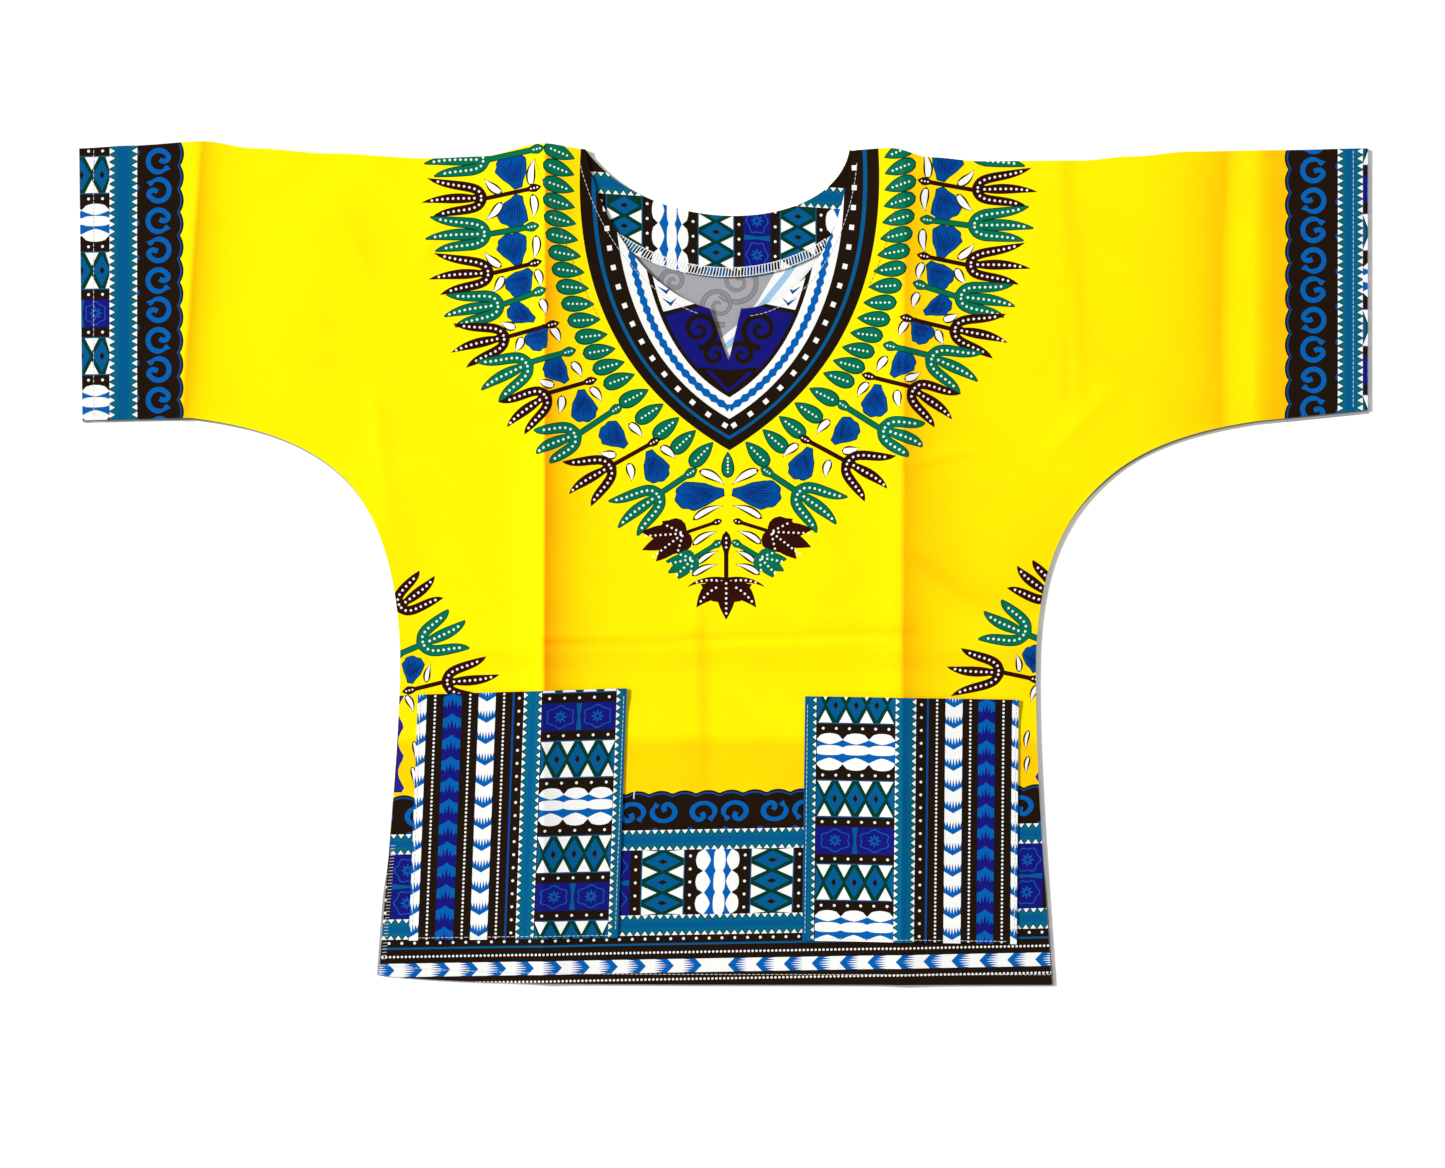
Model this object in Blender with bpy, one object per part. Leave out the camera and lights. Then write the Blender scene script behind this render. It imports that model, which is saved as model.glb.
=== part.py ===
"""Dashiki shirt for a child, laid flat on its back, in printed cotton.

The front and the back are each cut in one with their half of both sleeves and are joined
at the shoulders, underarms and sides, down to a slit at each side of the hem. The neck is
a round opening with a V notch, faced on the inside, and two patch pockets lie on the front.
The shirt rests on z = 0 with its shoulders towards +Y and its front up. The sizes below
are in millimetres, and the meshes are in metres.
"""
import bmesh
import bpy
import numpy as np
from mathutils import Vector
from mathutils.geometry import delaunay_2d_cdt

METRE = 0.001

# The cut, measured over the shirt as it lies
HALF_SPAN = 399.0
SHOULDER_Y = 261.2
HEM_Y = -261.2
SHOULDER_LEFT = -85.5
SHOULDER_RIGHT = 78.0
FACING_WIDTH = 31.5
SLIT_TOP_Y = -180.0
SLIT_REACH = 30.0
LEAN_AT_HEM = 6.0
LEAN_POWER = 1.2
HEM_LIFT_LEFT = 6.0
HEM_LIFT_REACH = 55.0
UNDERSIDE_STARTS = 199.0
UNDERSIDE_REACH = 40.0

# Layers, from the surface up
WALL = 1.2
THIN_WALL = 1.0
GAP = 0.3
FACING_UNDER = WALL + GAP
FRONT_UNDER = WALL + GAP
FACING_RISE = THIN_WALL + GAP
RISE_KEPT = 14.0
RISE_ENDS = 48.0

# How the front puffs up from its sewn edges, and the pocket's mouth from the front
PUFF = 1.6
PUFF_REACH = 30.0
EDGE_SHARE = 0.45
MOUTH_LIFT = 1.0
MOUTH_REACH = 16.0

# Point spacing along edges and over the cloth
EDGE_STEP = 17.0
SLEEVE_STEP = 12.0
NOTCH_STEP = 9.0
CLOSEST = 3.0
MERGED = 1.0
ROW_STEP = 21.0
COLUMN_STEP = 24.0
BACK_STEP = 45.0
FACING_ROW_STEP = 14.0
FACING_COLUMN_STEP = 18.0
CLEARANCE = 6.0
CREST_CLEARANCE = 8.0
CREST_OVERRUN = 5.0
ROUNDING = 1e-4

# Straight runs in each curve
ARM_RUNS = 16
SEAM_RUNS = 14
NECK_RUNS = 13
BACK_NECK_RUNS = 20
FACING_RUNS = 26

# Edges that turn by more than this, in radians, look sharp
SHARP_ANGLE = 0.6

# The shoulder edge: place across the shirt, drop below the highest point
TOP_EDGE = [
    (-399.0, 4.3), (-368.0, 2.6), (-322.0, 0.0), (-290.0, 4.3), (-244.0, 7.4), (-182.0, 10.5),
    (-150.0, 9.3), (-111.0, 1.4), (-85.5, 5.0), (78.0, 5.6), (103.0, 4.2), (128.0, 10.0),
    (160.0, 12.3), (221.0, 11.8), (252.0, 9.3), (290.0, 6.2), (345.0, 5.4), (399.0, 4.3)]

# Each side: foot of the cuff, then the underarm curve's four points and the side seam's
SIDE = {
    -1: dict(cuff_foot=(397.0, 88.5), underarm=((330, 90), (250, 80), (202, 50), (197, -54))),
    1: dict(cuff_foot=(399.0, 95.0), underarm=((330, 88), (256, 77), (200, 50), (197, -54)))}
SIDE_SEAM = ((197, -54), (196, -110), (203, -180), (208.5, -261))

# How far the back peeks out on each side: beside the slit, and below the sleeve
BACK_PEEK = {-1: dict(spread=1.5, drop=1.0), 1: dict(spread=1.0, drop=1.8)}

# The front's neck edge: from each shoulder point to the notch, and the notch itself
NECK_LEFT_HANDLES = ((-77.0, 209.0), (-44.0, 166.0))
NOTCH_LEFT = (-8.6, 157.7)
NOTCH_POINT = (3.2, 125.1)
NOTCH_RIGHT = (10.9, 157.7)
NECK_RIGHT_HANDLES = ((50.0, 158.0), (77.0, 208.0))

# The handles of the back's neck edge and of the facing's outer edge
BACK_NECK_HANDLES = ((-45.0, 200.0), (68.0, 203.0))
FACING_HANDLES = ((-70.0, 150.0), (78.0, 150.0))

# Pockets: corners from the lower left, anticlockwise
POCKETS = {
    "pocket_left": ((-194.7, -233.6), (-65.4, -231.8), (-59.8, -77.4), (-189.0, -81.4)),
    "pocket_right": ((48.7, -233.6), (181.4, -235.8), (182.6, -84.5), (50.5, -82.3))}

# Pressed creases of the front: place across at the top and the foot, where each starts and
# ends, its height, and how far it falls away to the left and to the right of the crest
CREASES = [
    dict(top=-323.0, foot=-335.0, high=262.0, low=88.0, height=3.8, left=9.0, right=15.0),
    dict(top=-110.5, foot=-112.0, high=262.0, low=-262.0, height=4.2, left=9.0, right=17.0),
    dict(top=112.0, foot=109.5, high=262.0, low=-262.0, height=4.2, left=9.0, right=20.0),
    dict(top=310.0, foot=306.5, high=262.0, low=84.0, height=-1.6, left=14.0, right=10.0)]
CREASE_OFFSETS = (0.0, 4.0, 10.0, 20.0, 36.0)
EDGE_OFFSETS = CREASE_OFFSETS[:4]
CREASE_FADE = 25.0

# Softer folds: centre, direction across, half-width, length and height
SOFT_FOLDS = [
    dict(middle=(0.0, -52.0), across=(0.0, 1.0), width=13.0, length=205.0, height=1.1),
    dict(middle=(155.0, -20.0), across=(0.75, 0.66), width=24.0, length=80.0, height=1.8),
    dict(middle=(-20.0, -40.0), across=(1.0, 0.1), width=16.0, length=90.0, height=0.9),
    dict(middle=(-255.0, 170.0), across=(1.0, -0.2), width=26.0, length=70.0, height=1.4),
    dict(middle=(205.0, 150.0), across=(1.0, 0.35), width=28.0, length=80.0, height=1.5)]

# What each piece is made of: colour, roughness
FINISH = {
    "front": ((0.90, 0.60, 0.02, 1.0), 0.80),
    "back": ((0.86, 0.56, 0.02, 1.0), 0.82),
    "neck_facing": ((0.05, 0.25, 0.36, 1.0), 0.80),
    "pocket_left": ((0.02, 0.10, 0.24, 1.0), 0.80),
    "pocket_right": ((0.02, 0.10, 0.24, 1.0), 0.80)}


def clear_scene():
    """Remove what a new file holds, so that only the shirt is left."""
    for item in list(bpy.data.objects):
        bpy.data.objects.remove(item, do_unlink=True)


def eased(t):
    """Rise from 0 to 1, level at both ends."""
    t = np.clip(t, 0.0, 1.0)
    return t * t * (3.0 - 2.0 * t)


def bezier(start, pull, push, end, steps):
    """Points along a cubic curve from start to end, drawn towards its two handles."""
    t = np.linspace(0.0, 1.0, steps + 1)[:, None]
    a, b, c, d = (np.array(point, float) for point in (start, pull, push, end))
    return (1 - t) ** 3 * a + 3 * t * (1 - t) ** 2 * b + 3 * t * t * (1 - t) * c + t ** 3 * d


def straight(start, end, step=EDGE_STEP):
    """Evenly spaced points from start to end."""
    start, end = np.array(start, float), np.array(end, float)
    steps = max(1, int(round(np.linalg.norm(end - start) / step)))
    return start + (end - start) * np.linspace(0.0, 1.0, steps + 1)[:, None]


def chain(*runs):
    """Join runs of points into one, leaving out a point that repeats the one before it."""
    points = np.concatenate([np.atleast_2d(run) for run in runs])
    far = np.linalg.norm(np.diff(points, axis=0), axis=1) > MERGED
    return points[np.concatenate([[True], far])]


def top_edge(x):
    """Height of the shoulder edge at x, eased from each row of its table to the next."""
    place, drop = np.array(TOP_EDGE).T
    i = np.clip(np.searchsorted(place, x) - 1, 0, len(place) - 2)
    share = eased((x - place[i]) / (place[i + 1] - place[i]))
    return SHOULDER_Y - drop[i] - (drop[i + 1] - drop[i]) * share


def lean(y):
    """How far the body drifts to the left at the height y, growing towards the hem."""
    down = np.clip((SHOULDER_Y - y) / (SHOULDER_Y - HEM_Y), 0.0, 1.0)
    return -LEAN_AT_HEM * down ** LEAN_POWER


def crest(crease, y):
    """Place across of a crease's crest at the height y."""
    return crease["foot"] + (crease["top"] - crease["foot"]) * (
        (y - crease["low"]) / (crease["high"] - crease["low"]))


def places_across(start, end, y):
    """Places along a level edge: evenly spaced, and closer together beside each crest."""
    steps = max(1, int(round(abs(end - start) / EDGE_STEP)))
    places = list(np.linspace(start, end, steps + 1))
    for crease in CREASES:
        if crease["low"] - CREST_OVERRUN <= y <= crease["high"] + CREST_OVERRUN:
            middle = crest(crease, y)
            places += [middle + sign * offset for offset in EDGE_OFFSETS for sign in (-1, 1)]
    low, high = min(start, end), max(start, end)
    places = sorted({round(p, 3) for p in places if low <= p <= high})
    kept = [places[0]]
    for place in places[1:]:
        if place - kept[-1] > CLOSEST:
            kept.append(place)
    kept[-1] = places[-1]
    return np.array(kept if end > start else kept[::-1])


def shoulder_run(start, end):
    """The shoulder edge between two places across."""
    x = places_across(start, end, SHOULDER_Y)
    return np.stack([x, top_edge(x)], axis=1)


def side_run(hand, spread=0.0, drop=0.0):
    """One side from the cuff down to the hem corner; hand is -1 for left and 1 for right.

    spread widens the slit below its top, and drop lowers the underside of the sleeve.
    """
    foot_x, foot_y = SIDE[hand]["cuff_foot"]
    arm = bezier(*SIDE[hand]["underarm"], ARM_RUNS)
    seam = bezier(*SIDE_SEAM, SEAM_RUNS)
    sleeve = straight((foot_x, foot_y), arm[0], SLEEVE_STEP)
    run = chain(sleeve, arm, seam)
    under = eased((run[:, 0] - UNDERSIDE_STARTS) / UNDERSIDE_REACH)
    open_slit = eased((SLIT_TOP_Y - run[:, 1]) / SLIT_REACH)
    run[:, 0] += spread * open_slit
    run[:, 1] -= drop * under
    run[:, 0] = hand * run[:, 0] + lean(run[:, 1]) * (1.0 - under)
    cuff = straight((hand * HALF_SPAN, top_edge(hand * HALF_SPAN)), run[0])
    return chain(cuff, run)


def hem_run(left, right):
    """The hem from its left corner to its right one, a little higher at the left."""
    x = places_across(left, right, HEM_Y)
    y = HEM_Y + HEM_LIFT_LEFT * np.exp(-(x - left) / HEM_LIFT_REACH)
    return np.stack([x, y], axis=1)


def neck_curve(out, handles, steps):
    """Rounded edge from shoulder to shoulder, starting a distance out from each neck point."""
    left, right = SHOULDER_LEFT - out, SHOULDER_RIGHT + out
    return bezier((left, top_edge(left)), *handles, (right, top_edge(right)), steps)


def front_outline():
    """Outline of the front, anticlockwise from the left hem corner."""
    left, right = side_run(-1), side_run(1)
    point_left = (SHOULDER_LEFT, top_edge(SHOULDER_LEFT))
    point_right = (SHOULDER_RIGHT, top_edge(SHOULDER_RIGHT))
    neck_right = bezier(NOTCH_RIGHT, *NECK_RIGHT_HANDLES, point_right, NECK_RUNS)
    neck_left = bezier(point_left, *NECK_LEFT_HANDLES, NOTCH_LEFT, NECK_RUNS)
    notch = chain(
        straight(NOTCH_LEFT, NOTCH_POINT, NOTCH_STEP),
        straight(NOTCH_POINT, NOTCH_RIGHT, NOTCH_STEP))
    return chain(
        hem_run(left[-1, 0], right[-1, 0]), right[::-1],
        shoulder_run(HALF_SPAN, SHOULDER_RIGHT), neck_right[::-1], notch[::-1], neck_left[::-1],
        shoulder_run(SHOULDER_LEFT, -HALF_SPAN), left[:-1])


def back_outline():
    """Outline of the back: it peeks out a little below the sleeves and beside the slits."""
    left, right = side_run(-1, **BACK_PEEK[-1]), side_run(1, **BACK_PEEK[1])
    neck = neck_curve(0.0, BACK_NECK_HANDLES, BACK_NECK_RUNS)
    return chain(
        hem_run(left[-1, 0], right[-1, 0]), right[::-1],
        shoulder_run(HALF_SPAN, SHOULDER_RIGHT), neck[::-1],
        shoulder_run(SHOULDER_LEFT, -HALF_SPAN), left[:-1])


def facing_outline():
    """Outline of the facing that shows inside the back of the neck."""
    outer = neck_curve(FACING_WIDTH, FACING_HANDLES, FACING_RUNS)
    inner = neck_curve(0.0, BACK_NECK_HANDLES, BACK_NECK_RUNS)
    return chain(outer, inner[::-1])


def edge_distance(points, outline):
    """Distance of each point from an outline's nearest edge."""
    start, end = outline, np.roll(outline, -1, axis=0)
    run = end - start
    offset = points[:, None, :] - start[None]
    along = np.clip((offset * run).sum(2) / (run * run).sum(1), 0.0, 1.0)
    nearest = offset - along[..., None] * run
    return np.sqrt((nearest ** 2).sum(2)).min(1)


def inside_outline(points, outline):
    """Which points an outline holds: a line out of them crosses it an odd number of times."""
    start, end = outline, np.roll(outline, -1, axis=0)
    x, y = points[:, 0, None], points[:, 1, None]
    spans = (start[:, 1] > y) != (end[:, 1] > y)
    rise = end[:, 1] - start[:, 1]
    slope = (end[:, 0] - start[:, 0]) / np.where(rise == 0.0, 1.0, rise)
    crossed = x < start[:, 0] + slope * (y - start[:, 1])
    return (spans & crossed).sum(1) % 2 == 1


def facing_bump(points):
    """Rise of the front over the facing: full above it and just around, then eased away."""
    outline = facing_outline()
    out = np.where(inside_outline(points, outline), 0.0, edge_distance(points, outline))
    return FACING_RISE * eased((RISE_ENDS - out) / (RISE_ENDS - RISE_KEPT))


def crease_height(crease, x, y):
    """Crease that is sharp at its crest and falls away on each side by its own reach."""
    off = x - crest(crease, y)
    reach = np.where(off < 0, crease["left"], crease["right"])
    live = eased((y - crease["low"]) / CREASE_FADE + 1.0)
    live = live * eased((crease["high"] - y) / CREASE_FADE + 1.0)
    return crease["height"] * np.exp(-np.abs(off) / reach) * live


def soft_height(fold, x, y):
    """Rounded fold: a bell across it that dies out along its length."""
    side = Vector(fold["across"]).normalized()
    dx, dy = x - fold["middle"][0], y - fold["middle"][1]
    across, along = dx * side.x + dy * side.y, -dx * side.y + dy * side.x
    return fold["height"] * np.exp(-(across / fold["width"]) ** 2 - (along / fold["length"]) ** 4)


def front_under(points, outline):
    """Height of the front's underside: the layers below it, its puff, folds and creases."""
    x, y = points[:, 0], points[:, 1]
    free = 1.0 - np.exp(-edge_distance(points, outline) / PUFF_REACH)
    folds = sum(crease_height(crease, x, y) for crease in CREASES)
    soft = sum(soft_height(fold, x, y) for fold in SOFT_FOLDS)
    relief = PUFF * free + folds * (EDGE_SHARE + (1.0 - EDGE_SHARE) * free) + soft * free
    return FRONT_UNDER + facing_bump(points) + np.maximum(relief, 0.0)


def cloth_rows(outline, row_step, column_step, creased):
    """Points over a panel in rows: closer together beside each crease, clear of the edges."""
    points = []
    low, high = outline.min(0), outline.max(0)
    for y in np.arange(low[1] + row_step / 2, high[1], row_step):
        crests = [crest(c, y) for c in CREASES if creased and c["low"] <= y <= c["high"]]
        taken = [place + sign * offset for place in crests
                 for offset in CREASE_OFFSETS for sign in (-1, 1)]
        fill = [x for x in np.arange(low[0], high[0], column_step)
                if all(abs(x - place) > CREASE_OFFSETS[-1] + CREST_CLEARANCE for place in crests)]
        points += [(x, y) for x in sorted(set(taken)) + fill]
    return np.array(points)


def loop_edges(first, count):
    """Edges that join count points in a ring, from the number of the first."""
    return [(first + i, first + (i + 1) % count) for i in range(count)]


def fill_outline(outline, rings, points):
    """Triangles of a panel: its outline, rings sewn onto it, and the points between them."""
    borders = [outline] + rings
    for border in borders:
        points = points[edge_distance(points, border) > CLEARANCE]
    edges = []
    first = 0
    for border in borders:
        edges += loop_edges(first, len(border))
        first += len(border)
    flat = np.concatenate(borders + [points])
    made = delaunay_2d_cdt([Vector(p) for p in flat.tolist()], edges, [], 1, ROUNDING)
    return np.array([tuple(v) for v in made[0]]), made[2]


def finish(name):
    """The piece's own material."""
    colour, rough = FINISH[name]
    material = bpy.data.materials.new(name)
    material.use_nodes = True
    shader = material.node_tree.nodes["Principled BSDF"]
    shader.inputs["Base Color"].default_value = colour
    shader.inputs["Roughness"].default_value = rough
    shader.inputs["Metallic"].default_value = 0.0
    return material


def make_panel(name, flat, faces, under, wall):
    """One panel of cloth: a flat sheet lifted to its height and extruded to its wall."""
    sheet = bmesh.new()
    corners = [sheet.verts.new((x * METRE, y * METRE, z * METRE))
               for (x, y), z in zip(flat, under)]
    for face in faces:
        sheet.faces.new([corners[i] for i in face])
    loose = [v for v in sheet.verts if not v.link_faces]
    bmesh.ops.delete(sheet, geom=loose, context="VERTS")
    grown = bmesh.ops.extrude_face_region(sheet, geom=sheet.faces[:], use_keep_orig=True)
    raised = [item for item in grown["geom"] if isinstance(item, bmesh.types.BMVert)]
    bmesh.ops.translate(sheet, verts=raised, vec=(0.0, 0.0, wall * METRE))
    bmesh.ops.recalc_face_normals(sheet, faces=sheet.faces[:])
    mesh = bpy.data.meshes.new(name)
    sheet.to_mesh(mesh)
    sheet.free()
    mesh.shade_smooth()
    mesh.set_sharp_from_angle(angle=SHARP_ANGLE)
    mesh.materials.append(finish(name))
    panel = bpy.data.objects.new(name, mesh)
    bpy.context.scene.collection.objects.link(panel)
    return panel


def make_front_and_pockets():
    """The front, and each pocket made from the front's own points, moved out from it."""
    outline = front_outline()
    rings = []
    for corners in POCKETS.values():
        sides = [straight(start, end) for start, end in zip(corners, corners[1:] + corners[:1])]
        rings.append(chain(*sides)[:-1])
    flat, faces = fill_outline(outline, rings, cloth_rows(outline, ROW_STEP, COLUMN_STEP, True))
    under = front_under(flat, outline)
    make_panel("front", flat, faces, under, WALL)
    middles = np.array([flat[list(face)].mean(0) for face in faces])
    for name, corners in POCKETS.items():
        inside = inside_outline(middles, np.array(corners))
        patch = [face for face, kept in zip(faces, inside) if kept]
        mouth = (corners[2][1] + corners[3][1]) / 2
        lift = MOUTH_LIFT * eased((flat[:, 1] - mouth + MOUTH_REACH) / MOUTH_REACH)
        make_panel(name, flat, patch, under + WALL + GAP + lift, THIN_WALL)


def make_back():
    """The back, flat on the surface."""
    outline = back_outline()
    flat, faces = fill_outline(outline, [], cloth_rows(outline, BACK_STEP, BACK_STEP, False))
    make_panel("back", flat, faces, np.zeros(len(flat)), WALL)


def make_facing():
    """The facing, flat on the back inside the neck."""
    outline = facing_outline()
    points = cloth_rows(outline, FACING_ROW_STEP, FACING_COLUMN_STEP, False)
    flat, faces = fill_outline(outline, [], points)
    make_panel("neck_facing", flat, faces, np.full(len(flat), FACING_UNDER), THIN_WALL)


clear_scene()
make_back()
make_facing()
make_front_and_pockets()
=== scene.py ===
import math
from functools import partial

import bpy
import numpy as np
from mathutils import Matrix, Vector
from mathutils.geometry import delaunay_2d_cdt


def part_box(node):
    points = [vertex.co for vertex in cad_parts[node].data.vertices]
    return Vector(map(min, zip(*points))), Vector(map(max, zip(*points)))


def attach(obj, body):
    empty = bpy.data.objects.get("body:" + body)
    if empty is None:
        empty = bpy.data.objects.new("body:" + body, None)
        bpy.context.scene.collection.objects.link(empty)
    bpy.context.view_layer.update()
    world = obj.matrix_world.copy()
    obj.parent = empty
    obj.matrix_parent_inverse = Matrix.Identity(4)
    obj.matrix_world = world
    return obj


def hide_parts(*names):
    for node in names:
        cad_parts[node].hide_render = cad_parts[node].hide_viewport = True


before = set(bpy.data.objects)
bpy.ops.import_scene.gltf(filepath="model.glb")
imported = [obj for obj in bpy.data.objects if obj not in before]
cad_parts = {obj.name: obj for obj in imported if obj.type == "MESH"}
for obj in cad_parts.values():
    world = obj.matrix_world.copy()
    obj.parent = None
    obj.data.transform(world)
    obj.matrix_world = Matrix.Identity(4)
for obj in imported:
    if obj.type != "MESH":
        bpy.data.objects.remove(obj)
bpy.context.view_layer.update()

# The back
# Cotton printed on one side, cut in one with the back half of both sleeves and laid with its
# print down. Its wrong side shows inside the neck, and its hemmed edges peek out under the
# sleeves and at the slits. Sizes here and below are millimetres, seen from above.
METRE = 0.001
HALF_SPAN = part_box("front")[1].x / METRE
SHOULDER_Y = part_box("front")[1].y / METRE
HEM_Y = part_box("front")[0].y / METRE
SHOULDER_LEFT = -85.5
SHOULDER_RIGHT = 78.0
SLIT_TOP_Y = -180.0
SLIT_REACH = 30.0
LEAN_AT_HEM = 6.0
LEAN_POWER = 1.2
HEM_LIFT = 6.0
HEM_LIFT_REACH = 55.0
UNDERSIDE_STARTS = 199.0
UNDERSIDE_REACH = 40.0
EDGE_STEP = 5.0
CURVE_STEPS = 48
BACK_WALL = 1.2
BACK_NECK_HANDLES = ((-45.0, 200.0), (68.0, 203.0))

# The shoulder edge: place across, and how far it lies below its highest point
TOP_EDGE = [
    (-399.0, 4.3), (-368.0, 2.6), (-322.0, 0.0), (-290.0, 4.3), (-244.0, 7.4), (-182.0, 10.5),
    (-150.0, 9.3), (-111.0, 1.4), (-85.5, 5.0), (78.0, 5.6), (103.0, 4.2), (128.0, 10.0),
    (160.0, 12.3), (221.0, 11.8), (252.0, 9.3), (290.0, 6.2), (345.0, 5.4), (399.0, 4.3)]
SIDE = {
    -1: dict(cuff_foot=(397.0, 88.5), underarm=((330, 90), (250, 80), (202, 50), (197, -54))),
    1: dict(cuff_foot=(399.0, 95.0), underarm=((330, 88), (256, 77), (200, 50), (197, -54)))}
SIDE_SEAM = ((197, -54), (196, -110), (203, -180), (208.5, -261))
BACK_PEEK = {-1: dict(spread=1.5, drop=1.0), 1: dict(spread=1.0, drop=1.8)}

# The dyes, as they look on flat cloth in this scene's light, in parts of 255, and how much
# brighter than the cloth's own colour that is
FULL_LIGHT = 1.5
INKS = dict(
    yellow=(272, 256, 0), white=(255, 255, 252), black=(32, 19, 8), brown=(50, 13, 4),
    teal=(2, 104, 136), blue=(0, 92, 146), pine=(4, 58, 44), green=(2, 116, 82),
    cobalt=(0, 76, 158), sky=(0, 98, 182), navy=(22, 22, 124), vein=(6, 40, 112),
    violet=(44, 34, 138), wrong=(172, 172, 176), ash=(146, 146, 150), shadow=(112, 112, 117),
    pale=(164, 204, 238))
# How much the painted shade and gold take from the yellow's green share, at a full golden share
PAINTED_SHADE_DEPTH = 0.36
INK_NUMBER = {name: number for number, name in enumerate(INKS)}


def linear(colour):
    """Cloth colour that looks so in full light: the display's curve undone, less the light."""
    share = np.array(colour, float) / 255.0
    return np.where(share > 0.04045, ((share + 0.055) / 1.055) ** 2.4, share / 12.92) / FULL_LIGHT


def eased(t):
    """Rise from 0 to 1, level at both ends: t squared times (3 - 2 t)."""
    t = np.clip(t, 0.0, 1.0)
    return t * t * (3.0 - 2.0 * t)


def pair(x, y):
    """Points, from their places across and their places up."""
    return np.stack([x, y], axis=1)


def bezier(start, pull, push, end, steps=CURVE_STEPS):
    """Points along a cubic curve from start to end, drawn towards its two handles."""
    t = np.linspace(0.0, 1.0, steps + 1)[:, None]
    a, b, c, d = (np.array(point, float) for point in (start, pull, push, end))
    return (1 - t) ** 3 * a + 3 * t * (1 - t) ** 2 * b + 3 * t * t * (1 - t) * c + t ** 3 * d


def straight(start, end, step=EDGE_STEP):
    """Evenly spaced points from start to end."""
    start, end = np.array(start, float), np.array(end, float)
    steps = max(1, int(round(np.linalg.norm(end - start) / step)))
    return start + (end - start) * np.linspace(0.0, 1.0, steps + 1)[:, None]


def chain(*runs):
    """Join runs of points into one, leaving out a point that repeats the one before it."""
    points = np.concatenate([np.atleast_2d(run) for run in runs])
    far = np.linalg.norm(np.diff(points, axis=0), axis=1) > 0.5
    return points[np.concatenate([[True], far])]


def top_edge(x):
    """Height of the shoulder edge at x, eased from each row of its table to the next."""
    place, drop = np.array(TOP_EDGE).T
    i = np.clip(np.searchsorted(place, x) - 1, 0, len(place) - 2)
    share = eased((x - place[i]) / (place[i + 1] - place[i]))
    return SHOULDER_Y - drop[i] - (drop[i + 1] - drop[i]) * share


def lean(y):
    """How far the body drifts to the left at the height y, growing towards the hem."""
    down = np.clip((SHOULDER_Y - y) / (SHOULDER_Y - HEM_Y), 0.0, 1.0)
    return -LEAN_AT_HEM * down ** LEAN_POWER


def shoulder_run(start, end):
    """The shoulder edge between two places across."""
    x = straight((start, 0.0), (end, 0.0))[:, 0]
    return pair(x, top_edge(x))


def side_run(hand, spread=0.0, drop=0.0):
    """One side from the cuff to the hem corner: a sleeve's underside, a curve and a seam.

    hand is -1 for left and 1 for right, spread widens the slit, drop lowers the underside."""
    foot_x, foot_y = SIDE[hand]["cuff_foot"]
    arm = bezier(*SIDE[hand]["underarm"])
    run = chain(straight((foot_x, foot_y), arm[0]), arm, bezier(*SIDE_SEAM))
    under = eased((run[:, 0] - UNDERSIDE_STARTS) / UNDERSIDE_REACH)
    run[:, 0] += spread * eased((SLIT_TOP_Y - run[:, 1]) / SLIT_REACH)
    run[:, 1] -= drop * under
    run[:, 0] = hand * run[:, 0] + lean(run[:, 1]) * (1.0 - under)
    cuff = straight((hand * HALF_SPAN, top_edge(hand * HALF_SPAN)), run[0])
    return chain(cuff, run)


def hem_run(left, right):
    """The hem from its left corner to its right one, a little higher at the left."""
    x = straight((left, 0.0), (right, 0.0))[:, 0]
    return pair(x, HEM_Y + HEM_LIFT * np.exp(-(x - left) / HEM_LIFT_REACH))


def neck_curve(out, handles):
    """Rounded edge from shoulder to shoulder, starting a distance out from each neck point."""
    left, right = SHOULDER_LEFT - out, SHOULDER_RIGHT + out
    return bezier((left, top_edge(left)), *handles, (right, top_edge(right)))


def back_outline():
    """Outline of the back, anticlockwise from the left hem corner."""
    left, right = side_run(-1, **BACK_PEEK[-1]), side_run(1, **BACK_PEEK[1])
    return chain(
        hem_run(left[-1, 0], right[-1, 0]), right[::-1],
        shoulder_run(HALF_SPAN, SHOULDER_RIGHT), neck_curve(0.0, BACK_NECK_HANDLES)[::-1],
        shoulder_run(SHOULDER_LEFT, -HALF_SPAN), left[:-1])


def edge_distance(points, outline, block=1000):
    """Distance of each point from an outline's nearest edge, for a block of points at a time."""
    start, run = outline, np.roll(outline, -1, axis=0) - outline
    far = np.empty(len(points))
    for first in range(0, len(points), block):
        offset = points[first:first + block, None, :] - start[None]
        along = np.clip((offset * run).sum(2) / (run * run).sum(1), 0.0, 1.0)
        nearest = offset - along[..., None] * run
        far[first:first + block] = np.sqrt((nearest ** 2).sum(2)).min(1)
    return far


def inside_outline(points, outline, block=4000):
    """Which points an outline holds: a line out of them crosses it an odd number of times."""
    start, end = outline, np.roll(outline, -1, axis=0)
    rise = end[:, 1] - start[:, 1]
    slope = (end[:, 0] - start[:, 0]) / np.where(rise == 0.0, 1.0, rise)
    held = np.empty(len(points), bool)
    for first in range(0, len(points), block):
        x, y = points[first:first + block, 0, None], points[first:first + block, 1, None]
        spans = (start[:, 1] > y) != (end[:, 1] > y)
        crossed = x < start[:, 0] + slope * (y - start[:, 1])
        held[first:first + block] = (spans & crossed).sum(1) % 2 == 1
    return held


def grid_points(outline, step):
    """Points over a panel in even rows."""
    low, high = outline.min(0), outline.max(0)
    rows = np.arange(low[1] + step / 2, high[1], step)
    across = np.arange(low[0] + step / 2, high[0], step)
    return np.stack(np.meshgrid(across, rows), axis=2).reshape(-1, 2)


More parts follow.
